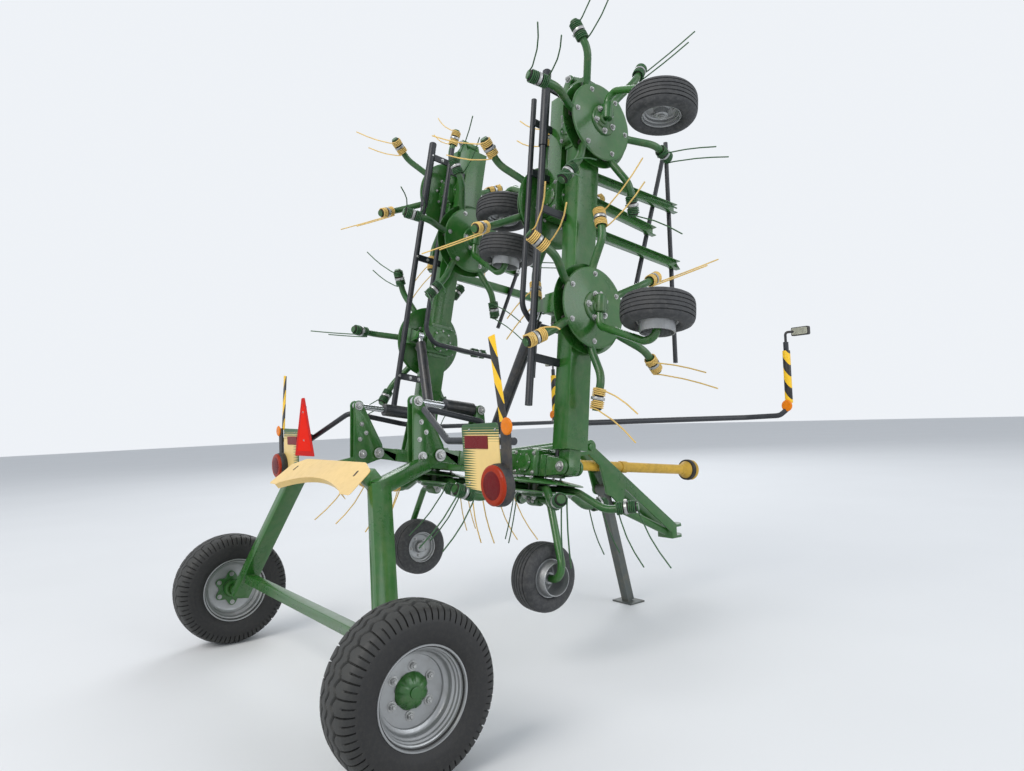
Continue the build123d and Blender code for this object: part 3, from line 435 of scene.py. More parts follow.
def endTree(tree, feed, shape):
    real = out(put(tree, "GeometryNodeRealizeInstances", {"Geometry": out(shape)}))
    smooth = out(put(tree, "GeometryNodeSetShadeSmooth", {"Geometry": real}))
    coloured = out(put(tree, "GeometryNodeSetMaterial", {"Geometry": smooth, "Material": feed["Finish"]}))
    put(tree, "NodeGroupOutput", {"Geometry": coloured})


def sweepLine(tree, feed, line, sides, radius):
    circle = put(tree, "GeometryNodeCurvePrimitiveCircle", {"Resolution": sides, "Radius": radius})
    feeds = {"Curve": out(line), "Profile Curve": out(circle), "Fill Caps": True}
    endTree(tree, feed, put(tree, "GeometryNodeCurveToMesh", feeds))


def repeatPart(tree, feed, spots, **places):
    part = put(tree, "GeometryNodeObjectInfo", {"Object": feed["Part"]})
    feeds = {"Points": spots, "Instance": out(part, "Geometry"), **places}
    endTree(tree, feed, put(tree, "GeometryNodeInstanceOnPoints", feeds))


def runTree(tree, data, **values):
    carrier = addObject("carrier", data)
    modifier = carrier.modifiers.new("tree", "NODES")
    modifier.node_group = tree
    for item in tree.interface.items_tree:
        if item.in_out == "INPUT" and item.name in values:
            modifier[item.identifier] = values[item.name]
    carrier.update_tag()
    bpy.context.view_layer.update()
    depsgraph = bpy.context.evaluated_depsgraph_get()
    mesh = bpy.data.meshes.new_from_object(carrier.evaluated_get(depsgraph))
    bpy.data.objects.remove(carrier)
    return mesh


tubeTree, feed = newTree("bent tube", Radius="Float", Bend="Float", Sides="Int", Steps="Int")
feeds = {"Curve": feed["Geometry"], "Radius": feed["Bend"], "Limit Radius": True}
bentLine = put(tubeTree, "GeometryNodeFilletCurve", feeds, mode="POLY")
tubeTree.links.new(feed["Steps"], bentLine.inputs["Count"])
sweepLine(tubeTree, feed, bentLine, feed["Sides"], feed["Radius"])

coilTree, feed = newTree("spring coil", Turns="Float", Radius="Float", Length="Float", Wire="Float",
                         Steps="Int")
feeds = {"Resolution": feed["Steps"], "Rotations": feed["Turns"], "Height": feed["Length"],
         "Start Radius": feed["Radius"], "End Radius": feed["Radius"]}
sweepLine(coilTree, feed, put(coilTree, "GeometryNodeCurveSpiral", feeds), 6, feed["Wire"])

roundTree, feed = newTree("parts in a ring", Part="Object", Count="Int")
index = out(put(roundTree, "GeometryNodeInputIndex"))
angle = calc(roundTree, "DIVIDE", times(roundTree, index, 2 * math.pi), feed["Count"])
spin = put(roundTree, "FunctionNodeAxisAngleToRotation", {"Axis": upward, "Angle": angle})
points = put(roundTree, "GeometryNodePoints", {"Count": feed["Count"]})
repeatPart(roundTree, feed, out(points), Rotation=out(spin))

screwTree, feed = newTree("screws on points", Part="Object")
facing = put(screwTree, "GeometryNodeInputNamedAttribute", {"Name": "facing"}, data_type="FLOAT_VECTOR")
size = put(screwTree, "GeometryNodeInputNamedAttribute", {"Name": "size"}, data_type="FLOAT")
aim = put(screwTree, "FunctionNodeAlignRotationToVector", {"Vector": out(facing)}, axis="Z")
repeatPart(screwTree, feed, feed["Geometry"], Rotation=out(aim), Scale=out(size))


def tube(points, radius, bend=0.06, sides=14, steps=7):
    line = bpy.data.curves.new("line", "CURVE")
    line.dimensions = "3D"
    spline = line.splines.new("POLY")
    spline.points.add(len(points) - 1)
    for spot, point in zip(spline.points, points):
        spot.co = (*point, 1)
    return closeUp(runTree(tubeTree, line, Radius=radius, Bend=bend, Sides=sides, Steps=steps))


def coil(turns, radius, length, wire, steps=18):
    sizes = {"Turns": turns, "Radius": radius, "Length": length, "Wire": wire, "Steps": steps}
    return closeUp(runTree(coilTree, bpy.data.meshes.new("empty"), **sizes))


def inRing(mesh, count):
    holder = addObject("repeated", mesh)
    made = runTree(roundTree, bpy.data.meshes.new("empty"), Part=holder, Count=count)
    bpy.data.objects.remove(holder)
    return made


def meshOf(name, spots, corners, counts):
    made = bpy.data.meshes.new(name)
    made.vertices.add(len(spots))
    made.vertices.foreach_set("co", spots.ravel())
    made.loops.add(len(corners))
    made.loops.foreach_set("vertex_index", corners.astype(np.int32))
    made.polygons.add(len(counts))
    made.polygons.foreach_set("loop_start", (np.cumsum(counts) - counts).astype(np.int32))
    return made


def listed(items, field, kind=float, width=1):
    values = np.empty(len(items) * width, kind)
    items.foreach_get(field, values)
    return values


def joinParts(name, parts):  # several meshes, each with its place and finish, as one mesh
    spots, corners, counts, slots, materials = [], [], [], [], []
    start = 0
    for mesh, place, material in parts:
        matrix = np.array(place)
        spots.append(listed(mesh.vertices, "co", width=3).reshape(-1, 3) @ matrix[:3, :3].T + matrix[:3, 3])
        corner = listed(mesh.loops, "vertex_index", np.int32)
        count = listed(mesh.polygons, "loop_total", np.int32)
        if np.linalg.det(matrix[:3, :3]) < 0:  # a mirrored part has its faces turned back
            first = np.repeat(np.cumsum(count) - count, count)
            corner = corner[2 * first + np.repeat(count, count) - 1 - np.arange(len(corner))]
        if material not in materials:
            materials.append(material)
        corners.append(corner + start)
        counts.append(count)
        slots.append(np.full(len(count), materials.index(material), np.int32))
        start += len(mesh.vertices)
    made = meshOf(name, np.concatenate(spots), np.concatenate(corners), np.concatenate(counts))
    for material in filter(None, materials):
        made.materials.append(material)
    made.polygons.foreach_set("material_index", np.concatenate(slots))
    made.update(calc_edges=True)
    made.validate()
    made.shade_smooth()
    made.set_sharp_from_angle(angle=math.radians(34))
    return made


def joined(name, *pairs):  # meshes with their places, to be painted later
    return joinParts(name, [(mesh, place, None) for mesh, place in pairs])


def dressed(place, *pairs):  # meshes with their finishes, all at one place
    return [(mesh, place, paint[finish]) for mesh, finish in pairs]


# Bolts: a hexagon head on a washer, with the stud's end, in sizes of the head's radius
boltShape = {
    "head": 0.85, "ease": 0.12, "lift": 0.2,
    "washer": [(0, 0), (1.5, 0), (1.5, 0.2), (1.44, 0.25), (0, 0.25)],
    "stud": [(0, 0.2), (0.55, 0.2), (0.55, 1.3), (0.45, 1.42), (0, 1.42)],
}
hexagon = [(math.cos(math.pi * k / 3), math.sin(math.pi * k / 3)) for k in range(6)]
boltHead = plate("head", hexagon, boltShape["head"], boltShape["ease"])
washer = lathe("washer", boltShape["washer"], 16)
stud = lathe("stud", boltShape["stud"], 10)
bolt = joined("bolt", (boltHead, move(z=boltShape["lift"])), (washer, still), (stud, still))
boltHolder = addObject("repeated", bolt)


def screws(spots):  # each spot is a point, the way its head faces and its size
    cloud = bpy.data.meshes.new("spots")
    cloud.from_pydata([tuple(spot) for spot, way, size in spots], [], [])
    way = cloud.attributes.new("facing", "FLOAT_VECTOR", "POINT")
    way.data.foreach_set("vector", [c for spot, facing, size in spots for c in facing])
    width = cloud.attributes.new("size", "FLOAT", "POINT")
    width.data.foreach_set("value", [size for spot, facing, size in spots])
    return runTree(screwTree, cloud, Part=boltHolder)


def ringSpots(count, radius, height, way, size, first=0.0):
    angles = [first + 2 * math.pi * k / count for k in range(count)]
    return [((radius * math.cos(angle), radius * math.sin(angle), height), way, size) for angle in angles]


def aimed(place, spots):  # spots for screws, taken to a place
    return [(place @ Vector(point), place.to_3x3() @ Vector(way), size) for point, way, size in spots]


faceCounts = []


def newPiece(name, parts, body, slot, *stands):  # one finished piece that stands for its CAD nodes
    piece = addObject(name, joinParts(name, parts))
    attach(piece, body)
    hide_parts(*stands)
    faceCounts.append(len(piece.data.polygons))


# Rotors: pressed front disc, dished back plate on its hub, and six bent arms
rotorSizes = {
    "arms": 6, "armRadius": 0.024, "armBend": 0.15, "boltRing": 0.208, "hubRing": 0.14,
    "firstArm": {True: -2, False: -28},  # degrees, with cream and with green tines
    "armPath": [(0.095, 0, 0.028), (0.25, 0, 0.028), (0.43, 0, -0.062), (0.626, 0, -0.02)],
    "disc": [(0.0365, -0.0120), (0.090, -0.0120), (0.104, -0.0100), (0.170, -0.0035), (0.232, 0.0030),
             (0.243, 0.0034), (0.2475, 0.0062), (0.248, 0.0125), (0.2455, 0.0130), (0.2440, 0.0085),
             (0.240, 0.0070), (0.170, 0.0010), (0.104, -0.0050), (0.0365, -0.0060)],
    "dish": [(0.0365, 0.004), (0.066, 0.002), (0.072, 0.008), (0.072, 0.07), (0.082, 0.082), (0.105, 0.084),
             (0.16, 0.0785), (0.225, 0.0685), (0.262, 0.062), (0.2745, 0.056), (0.2785, 0.056),
             (0.279, 0.0615), (0.274, 0.066), (0.262, 0.0695), (0.225, 0.0755), (0.16, 0.0855),
             (0.105, 0.091), (0.0365, 0.091)],
}
armCount = rotorSizes["arms"]
disc = lathe("front disc", rotorSizes["disc"], 72)
dish = lathe("back dish", rotorSizes["dish"], 72)
arm = tube(rotorSizes["armPath"], rotorSizes["armRadius"], rotorSizes["armBend"], 16, 7)
saddle = block("saddle", 0.045, 0.064, 0.012)
saddle.transform(move(rotorSizes["boltRing"], 0, 0.0575))
rimBolts = screws(ringSpots(armCount, rotorSizes["boltRing"], 0.0008, downward, 0.0115)
                  + ringSpots(armCount, rotorSizes["hubRing"], 0.088, upward, 0.0085, 0.5))
rotorShape = [(disc, "green"), (dish, "green"), (inRing(arm, armCount), "armGreen"),
              (inRing(saddle, armCount), "cast"), (rimBolts, "zinc")]

# Tines: two tight coils round the end of each arm with a clamp between them, and a long tine from each
tineSizes = {
    "start": 0.494, "length": 0.052, "space": 0.020, "turns": 4, "radius": 0.0355, "wire": 0.0043,
    "rise": 0.2143, "inner": (0.676, -0.365), "outer": (0.830, -0.350), "slant": 0.006,
    "bow": ((0.25, 0.016), (0.5, 0.024), (0.75, 0.018), (1.0, 0.0)),  # share of the way down, and how far in
}
wire, coilLength = tineSizes["wire"], tineSizes["length"]
kneeX, _, kneeZ = rotorSizes["armPath"][2]
packStart = (tineSizes["start"], 0, kneeZ + (tineSizes["start"] - kneeX) * tineSizes["rise"])
armLine = placeAt(packStart, (0, 1, 0), (1, 0, tineSizes["rise"]))
packLength = 2 * coilLength + tineSizes["space"]
middle = packLength / 2
oneCoil = coil(tineSizes["turns"], tineSizes["radius"], coilLength - 2 * wire, wire)
springParts = [(oneCoil, armLine @ move(z=at + wire)) for at in (0, packLength - coilLength)]
for at, (tipX, tipZ) in ((wire, tineSizes["inner"]), (packLength - wire, tineSizes["outer"])):
    root = armLine @ Vector((tineSizes["radius"], 0, at))
    run = [root + Vector((0, 0, 0.014)), root + Vector((0.003, 0, -0.02))]
    for share, bow in tineSizes["bow"]:
        fall = Vector(((tipX - root.x) * share - bow, -tineSizes["slant"] * share, (tipZ - root.z) * share))
        run.append(root + fall)
    springParts.append((tube(run, wire, 0.25, 7, 4), still))
# The dark sleeve under the coils is painted shade: it shows in the gaps between the turns as the shade in the
# grooves
sleeveEnd = packLength - 0.012
sleeve = lathe("sleeve", [(0.0243, 0), (0.0302, 0), (0.0302, sleeveEnd), (0.0243, sleeveEnd)], 18)
plug = ring("plug", 0, 0.0298, 0, 0.016, 0.003, 2, 20)
clampRing = ring("clamp", 0.0302, 0.0395, 0, 0.018, 0.002, 2, 22)
clampBlock = block("clamp block", 0.026, 0.030, 0.018, 0.002)
clampBolt = screws(aimed(armLine, [((0, 0.0395, middle), (0, 1, 0), 0.0075)]))
endParts = [(sleeve, armLine @ move(z=0.006)), (plug, armLine @ move(z=packLength - 0.014))]
clampParts = [(clampRing, armLine @ move(z=middle - 0.009)), (clampBlock, armLine @ move(0, 0.034, middle)),
              (clampBolt, still)]
springs = inRing(joined("springs", *springParts), armCount)
shadeSleevesAndPlugs = inRing(joined("ends", *endParts), armCount)
clamps = inRing(joined("clamps", *clampParts), armCount)

# Gauge wheels: ribbed balloon tyre on a dished silver rim
gaugeSizes = {
    "bolts": 5, "boltRing": 0.066,
    "halfTyre": [(0.0600, 0.1125), (0.0700, 0.1165), (0.0770, 0.1260), (0.0815, 0.1400), (0.0822, 0.1560),
                 (0.0790, 0.1720), (0.0720, 0.1850), (0.0620, 0.1930), (0.0535, 0.1975), (0.0505, 0.1985),
                 (0.0495, 0.1930), (0.0450, 0.1930), (0.0440, 0.2005), (0.0260, 0.2025), (0.0250, 0.1965),
                 (0.0205, 0.1965), (0.0195, 0.2027), (0.0030, 0.2030), (0.0024, 0.1985), (0, 0.1985)],
    "rim": [(0.1122, 0.0605), (0.1115, 0.0635), (0.1070, 0.0635), (0.1045, 0.0600), (0.1030, 0.0440),
            (0.0950, 0.0400), (0.0935, 0.0260), (0.0860, 0.0200), (0.0480, 0.0170), (0.0400, 0.0230),
            (0.0380, 0.0560), (0.0330, 0.0600), (0.0163, 0.0600), (0.0163, -0.0600), (0.0330, -0.0600),
            (0.0380, -0.0560), (0.0400, -0.0050), (0.0480, 0.0090), (0.0840, 0.0110), (0.0905, 0.0060),
            (0.0890, -0.1170), (0.0905, -0.1215), (0.0945, -0.1215), (0.0965, -0.1180), (0.0985, -0.0700),
            (0.1045, -0.0600), (0.1070, -0.0635), (0.1115, -0.0635), (0.1122, -0.0605)],
}
half = gaugeSizes["halfTyre"]
gaugeTyre = lathe("gauge tyre", [(r, x) for x, r in half] + [(r, -x) for x, r in half[-2::-1]], 72)
gaugeRim = lathe("gauge rim", gaugeSizes["rim"], 60)
gaugeBolts = screws(ringSpots(gaugeSizes["bolts"], gaugeSizes["boltRing"], 0.0185, upward, 0.008)
                    + ringSpots(gaugeSizes["bolts"], gaugeSizes["boltRing"], 0.010, downward, 0.008))

# Wheel legs: bolted hub flange with the shaft's end, a clamp with its cap bolt, and the bent tube
# that turns into the wheel's cup. The right middle leg passes over its wheel, the others beside it.
legSizes = {
    "drop": 0.483, "radius": 0.023, "bend": 0.062, "kneeZ": -0.045, "footZ": -0.390, "cup": 0.066,
    "axle": 0.016, "axleReach": 0.0625, "clampZ": -0.047, "boltRing": 0.073,
    # way: which face of the wheel the tube turns into
    "beside": {"way": -1, "foot": -0.15, "knee": -0.125, "clamp": 0.012, "firstBolt": 2.2},
    "over": {"way": 1, "foot": 0.17, "knee": 0.19, "clamp": 0.050, "firstBolt": 0.6},
    "flange": [(0, -0.024), (0.092, -0.024), (0.098, -0.0125), (0, -0.0125)],
    "shaftEnd": [(0, -0.036), (0.013, -0.036), (0.016, -0.042), (0.016, -0.050), (0.027, -0.050),
                 (0.031, -0.046), (0.032, -0.038), (0.044, -0.034), (0.050, -0.023), (0, -0.023)],
    "clampBody": [(0, -0.055), (0.032, -0.055), (0.034, 0.030), (0.030, 0.055), (0, 0.055)],
}
legFlange = turned("hub flange", legSizes["flange"], 0.003, 2, 48)
shaftEnd = lathe("shaft end", legSizes["shaftEnd"], 36)
clampBody = turned("clamp body", legSizes["clampBody"], 0.006, 3, 32)
clampFoot = block("clamp foot", 0.090, 0.070, 0.034, 0.006)
clampEar = block("clamp ear", 0.060, 0.024, 0.040, 0.004)


def legShape(level, aside, kind):
    way, drop, clampX, clampZ = kind["way"], -legSizes["drop"], kind["clamp"], legSizes["clampZ"]
    foot = kind["foot"] - aside
    cup = -aside + way * legSizes["cup"]
    tip = -aside - way * legSizes["axleReach"]
    run = [(0, 0, -0.037), (kind["knee"], 0, legSizes["kneeZ"]), (foot, 0, legSizes["footZ"]),
           (foot, 0, drop), (cup, 0, drop)]
    bentTube = tube(run, legSizes["radius"], legSizes["bend"], 18, 9)
    axle = tube([(cup, 0, drop), (tip, 0, drop)], legSizes["axle"], 0.01, 16, 1)
    spots = ringSpots(5, legSizes["boltRing"], -0.024, downward, 0.014, kind["firstBolt"])
    spots += [((tip, 0, drop), (-way, 0, 0), 0.013), ((clampX + 0.052, 0, clampZ), (1, 0, 0), 0.015)]
    spots += [((clampX + x, 0.036, clampZ - 0.004), (0, 1, 0), 0.009) for x in (-0.018, 0.018)]
    return [*dressed(level, (bentTube, "green"), (legFlange, "armGreen")),
            *dressed(level @ move(-0.012, -0.022, 0), (shaftEnd, "armGreen")),
            *dressed(level @ move(clampX, 0, clampZ) @ alongX, (clampBody, "armGreen")),
            *dressed(level @ move(clampX, 0, -0.034), (clampFoot, "armGreen")),
            *dressed(level @ move(clampX, 0.024, clampZ - 0.004), (clampEar, "armGreen")),
            *dressed(level, (axle, "zinc"), (screws(spots), "zinc"))]


near, far = machine["wingRotors"]
armRotor, frameRotor = machine["outerRotor"], machine["frameRotor"]
drop, outerDrop = machine["drop"], machine["outerDrop"]
legBody = {"gauge_legs_right": "wing_right", "gauge_legs_right_outer": "outer_right",
           "gauge_legs_left_outer": "outer_left", "gauge_legs_centre": "frame"}
rotorTable = [  # name, beam, distance along it, drop, cream tines, leg's node, its turn, wheel to the side
    ("right_inner", beamPlace[1], near, drop, True, "gauge_legs_right", 0, 0.125),
    ("right_middle", beamPlace[1], far, drop, False, "gauge_legs_right", 0, 0.125),
    ("right_outer", armPlace[1], armRotor, outerDrop, True, "gauge_legs_right_outer", 0, 0.157),
    ("left_inner", beamPlace[-1], near, drop, False, None, 0, 0),
    ("left_middle", beamPlace[-1], far, drop, True, None, 0, 0),
    ("left_outer", armPlace[-1], armRotor, outerDrop, False, "gauge_legs_left_outer", 180, 0.157),
    ("right_centre", framePlace, frameRotor, drop, False, "gauge_legs_centre", 180, 0.125),
    ("left_centre", framePlace, -frameRotor, drop, True, "gauge_legs_centre", 0, 0.125),
]
legSets = {}
for name, beam, distance, fall, isCream, legNode, legTurn, aside in rotorTable:
    seat = beam @ move(distance, 0, -fall)
    place = seat @ turn(rotorSizes["firstArm"][isCream], "Z")
    body, wheel = "rotor_" + name, "gauge_wheel_" + name
    newPiece("rotor_dress_" + name, dressed(place, *rotorShape), body, "green", body)
    spring, slot = ("creamSpring", "cream") if isCream else ("greenSpring", "green_spring")
    # The sleeves take the black rubber finish as painted shade between the coil turns
    tineParts = dressed(place, (springs, spring), (shadeSleevesAndPlugs, "rubber"), (clamps, "zinc"))
    newPiece("tine_dress_" + name, tineParts, body, slot, "tines_" + name)
    if not legNode:
        continue
    level = seat @ turn(legTurn, "Z")
    isOver = name == "right_middle"
    wheelPlace = level @ move(-aside, 0, -legSizes["drop"]) @ turn(-90 if isOver else 90, "Y")
    gaugeParts = dressed(wheelPlace, (gaugeTyre, "tyre"), (gaugeRim, "silver"), (gaugeBolts, "zinc"))
    newPiece("gauge_dress_" + name, gaugeParts, wheel, "tyre", wheel)
    legSets.setdefault(legNode, []).extend(legShape(level, aside, legSizes["over" if isOver else "beside"]))
for node, parts in legSets.items():
    newPiece(node + "_dress", parts, legBody[node], "green", node)
print("rotors, tines and gauge wheels made")

# Transport tyres: three wavy grooves, notched lugs on the shoulders and a ridge below them
tyreSizes = {
    "lugs": 34, "grooves": (-0.050, 0.0, 0.050), "grooveWidth": 0.0036, "grooveDepth": 0.011,
    "swing": 0.0085, "cutWidth": 0.034, "lugFoot": 0.314,
    "notch": (0.064, 0.012), "sipe": (0.094, 0.009),  # how far out each cut starts, and its depth
    "steps": (0, 0.10, 0.19, 0.22, 0.25, 0.28, 0.31, 0.40, 0.50, 0.60, 0.69, 0.72, 0.75, 0.78, 0.81, 0.90),
    "side": [(0.104, 0.199), (0.110, 0.2143), (0.1215, 0.232), (0.1275, 0.255), (0.1298, 0.280),
             (0.1285, 0.303), (0.1235, 0.325), (0.1170, 0.342), (0.108, 0.354), (0.094, 0.363),
             (0.072, 0.3695), (0.045, 0.374), (0.020, 0.3757), (0, 0.376)],
}


def ramp(values, start, width):
    return np.clip((values - start) / width, 0, 1)


def cut(off, width, reach):  # 1 in the middle of a groove, down to 0 past its walls
    return np.clip(reach - off / width, 0, 1)


def eased(values):  # the corners between the listed points rounded off
    for _ in range(2):
        values[1:-1] = (values[:-2] + 2 * values[1:-1] + values[2:]) / 4
    return values


def tyreMesh(sizes):
    side = np.array(sizes["side"])
    reach = np.concatenate([[0], np.cumsum(np.hypot(*np.diff(side, axis=0).T))])
    fine = np.concatenate([np.linspace(0, reach[6], 18)[:-1], np.linspace(reach[6], reach[-1], 46)])
    x, r = (eased(np.interp(fine, reach, side[:, k])) for k in (0, 1))
    x, r = np.concatenate([x, -x[-2::-1]]), np.concatenate([r, r[-2::-1]])
    share = (np.arange(sizes["lugs"])[:, None] + np.array(sizes["steps"])[None, :]).ravel()[:, None]
    theta = share * 2 * math.pi / sizes["lugs"]
    wave = sizes["swing"] * np.sin(theta * sizes["lugs"])
    depth = np.zeros((len(share), len(x)))
    for middle in sizes["grooves"]:
        groove = cut(np.abs(x - middle - wave), sizes["grooveWidth"], 2.1)
        depth = np.maximum(depth, sizes["grooveDepth"] * groove)
    lug = share + np.sign(x) * 0.25
    for shift, (startX, cutDepth) in ((0, sizes["notch"]), (0.5, sizes["sipe"])):
        gap = cut(np.abs((lug + shift) % 1 - 0.5), sizes["cutWidth"], 1.8)
        outside = ramp(np.abs(x), startX, 0.004) * ramp(r, sizes["lugFoot"], 0.008)
        depth = np.maximum(depth, cutDepth * gap * outside)
    depth = np.maximum(depth, 0.0018 * ((np.abs(r - 0.262) < 0.003) | (np.abs(r - 0.243) < 0.002)))
    depth -= 0.0022 * cut(np.abs(r - 0.306), 0.0035, 1.5)
    around = r - depth * ramp(r, 0.2, 0.1)
    across = x - np.sign(x) * depth * (np.abs(x) > 0.1) * 0.5
    points = np.stack([around * np.cos(theta), around * np.sin(theta), across], axis=2).reshape(-1, 3)
    here = np.arange(len(share))[:, None] * len(x)
    ahead = (here + len(x)) % len(points)
    i = np.arange(len(x))[None, :]
    j = (i + 1) % len(x)
    faces = np.stack([here + i, ahead + i, ahead + j, here + j], axis=2).reshape(-1, 4)
    mesh = meshOf("tyre", points, faces.ravel(), np.full(len(faces), 4))
    mesh.update(calc_edges=True)
    return closeUp(mesh)


# Transport rims: stepped silver dish, six studs, ribbed green cap outside and a six-lobed flange inside
rimSizes = {
    "dish": [(0.2142, 0.110), (0.2125, 0.1135), (0.206, 0.1135), (0.2035, 0.108), (0.2015, 0.092),
             (0.197, 0.088), (0.191, 0.086), (0.1895, 0.074), (0.1835, 0.069), (0.182, 0.058),
             (0.1735, 0.050), (0.172, 0.030), (0.165, 0.021), (0.152, 0.016), (0.149, 0.0065),
             (0.112, 0.0045), (0.095, 0.002), (0.062, 0.002), (0.062, -0.010), (0.100, -0.010),
             (0.145, -0.008), (0.160, -0.012), (0.170, -0.020), (0.172, -0.030), (0.182, -0.038),
             (0.1885, -0.044), (0.1895, -0.086), (0.2015, -0.092), (0.2035, -0.108), (0.206, -0.1135),
             (0.2125, -0.1135), (0.2142, -0.110), (0.200, -0.099), (0.1962, -0.085), (0.1962, 0.085),
             (0.200, 0.099)],
    "cap": [(0, 0), (0.078, 0), (0.0785, 0.006), (0.0755, 0.014), (0.064, 0.026), (0.047, 0.0345),
            (0.029, 0.0375), (0.0245, 0.0375), (0.0235, 0.0435), (0.0185, 0.0450), (0, 0.0450)],
    "capFlutes": (0, 0, 0.05, 0.14, 0.18, 0.10, 0, 0, 0, 0, 0),  # how far the flutes cut in at each point
    "flange": [(0, -0.012), (0.078, -0.012), (0.104, -0.008), (0.104, 0.006), (0, 0.006)],
    "flangeLobes": (0, 0.05, 0.16, 0.16, 0),
    "drum": [(0.0345, -0.072), (0.054, -0.072), (0.062, -0.052), (0.062, -0.012), (0.0345, -0.012)],
}
flutes, lobes = rimSizes["capFlutes"], rimSizes["flangeLobes"]
rimShell = lathe("rim", rimSizes["dish"], 96)
hubCap = lathe("hub cap", rimSizes["cap"], 96, lambda i, angle: 1 - flutes[i] * max(0, math.cos(8 * angle)))
flange = lathe("lobed flange", rimSizes["flange"], 96, lambda i, angle: 1 + lobes[i] * math.cos(6 * angle))
hubDrum = turned("hub drum", rimSizes["drum"], 0.006, 2, 40)
studs = screws(ringSpots(6, 0.102, 0.0028, upward, 0.0150, -0.1)
               + ringSpots(6, 0.098, -0.026, downward, 0.0105))
sideTyre = tyreMesh(tyreSizes)
wheelX, wheelY, wheelZ = machine["wheel"]
for side, name in sideName.items():
    hub = placeAt(machinePoint(side * wheelX, wheelY, wheelZ), (0, 0, 1), (side, 0, 0))
    rimParts = [*dressed(hub, (rimShell, "silver"), (hubCap, "green")),
                *dressed(hub @ move(z=-0.016), (flange, "green")),
                *dressed(hub, (hubDrum, "green"), (studs, "zinc"))]
    newPiece("tyre_dress_" + name, dressed(hub, (sideTyre, "tread")), "wheel_" + name, "tyre", "tyre_" + name)
    newPiece("rim_dress_" + name, rimParts, "wheel_" + name, "silver", "rim_" + name)
print("transport wheels made")

# Beams, frame and chassis: the CAD's own shapes with eased edges, gearbox caps, pins, washers and nuts
trimSizes = {
    "cap": [(0, 0), (0.088, 0), (0.088, 0.012), (0.055, 0.018), (0, 0.018)], "capZ": 0.252,
    "cover": [(0, 0), (0.062, 0), (0.062, 0.008), (0.038, 0.014), (0, 0.014)], "coverAt": (0.125, 0.176),
    "cornerX": (-0.085, 0.085), "cornerZ": (0.118, 0.234),
    "collar": (0.03, 0.184, 0.148), "collarX": (-0.118, 0.118),
}
bearingCap = turned("cap", trimSizes["cap"], 0.004, 2, 40)
sideCover = turned("side cover", trimSizes["cover"], 0.003, 2, 36)
collar = block("collar", *trimSizes["collar"], 0.005)


def carrierTrim(place, bolts):  # the covers of a rotor gearbox, with their bolts
    coverY, coverZ = trimSizes["coverAt"]
    parts = dressed(place @ move(z=trimSizes["capZ"]), (bearingCap, "green"))
    bolts += aimed(place, ringSpots(8, 0.077, trimSizes["capZ"] + 0.01, upward, 0.0075))
    for side in (1, -1):
        seat = place @ move(0, side * coverY, coverZ) @ turn(-90 * side, "X")
        parts += dressed(seat, (sideCover, "green"))
        bolts += aimed(seat, ringSpots(6, 0.054, 0.006, upward, 0.006))
        corners = [(x, side * coverY, z) for x in trimSizes["cornerX"] for z in trimSizes["cornerZ"]]
        bolts += aimed(place, [(corner, (0, side, 0), 0.009) for corner in corners])
    return parts


def easedNode(node, bolts, trim=(), soft=0.003):  # a CAD shape with eased edges, its trim and its bolts
    return [*dressed(still, (nodeShell(node, soft), "green")), *trim,
            *dressed(still, (screws(bolts), "zinc"))]


sides = []  # each side's name and the places of its wing and outer arm, the left ones mirrored
for side, name in sideName.items():
    flip = Matrix.Diagonal((1, side, 1, 1))
    sides.append((name, beamPlace[side] @ flip, armPlace[side] @ flip))

for name, wing, outer in sides:
    bolts, trim = [], []
    for distance in machine["wingRotors"]:
        trim += carrierTrim(wing @ move(distance, 0, -drop), bolts)
    for distance in machine["wingRotors"]:
        for x in trimSizes["collarX"]:
            trim += dressed(wing @ move(distance + x), (collar, "green"))
    node = "wing_beam_" + name
    newPiece("wing_dress_" + name, easedNode(node, bolts, trim), "wing_" + name, "green", node)
    bolts = aimed(outer, [((0, s * 0.0735, 0), (0, s, 0), 0.017) for s in (1, -1)])
    trim = carrierTrim(outer @ move(armRotor, 0, -outerDrop), bolts)
    node = "outer_arm_" + name
    newPiece("outer_dress_" + name, easedNode(node, bolts, trim), "outer_" + name, "green", node)

frameBolts = {  # places and sizes from the row's line, but those of "lift" from the floor and the axle
    "hinge": (0.073, 0.021), "lift": (0.716, 1.301, 0.024), "anchor": (-0.356, 0.301, 0.018),
    "legGap": 0.0423, "rear": ((0.36, -0.25, 0.15), 0.015), "boxX": 0.110, "boxSize": 0.011,
    "box": ((0.13, 0.05), (0.13, -0.02), (0.30, 0.05), (0.30, -0.03), (0.6, 0.08), (0.6, 0.0)),
}
hingeY, hingeSize = frameBolts["hinge"]
liftY, liftZ, liftSize = frameBolts["lift"]
anchorY, anchorZ, anchorSize = frameBolts["anchor"]
(rearX, rearY, rearZ), rearSize = frameBolts["rear"]
bolts, trim = [], []
for side in (1, -1):
    trim += carrierTrim(framePlace @ move(side * frameRotor, 0, -drop), bolts)
    for s in (1, -1):
        legX = side * machine["legX"] + s * frameBolts["legGap"]
        bolts += aimed(framePlace, [((side * machine["hingeX"], s * hingeY, 0), (0, s, 0), hingeSize)])
        bolts.append((machinePoint(legX, liftY, liftZ), (s, 0, 0), liftSize))
        bolts += aimed(framePlace, [((legX, anchorY, anchorZ), (s, 0, 0), anchorSize)])
    spots = [((side * rearX, rearY, rearZ), (0, -1, 0), rearSize)]
    for y, z in frameBolts["box"]:
        spots.append(((side * frameBolts["boxX"], y, z), (side, 0, 0), frameBolts["boxSize"]))
    bolts += aimed(framePlace, spots)
newPiece("frame_dress", easedNode("centre_frame", bolts, trim), "frame", "green", "centre_frame")

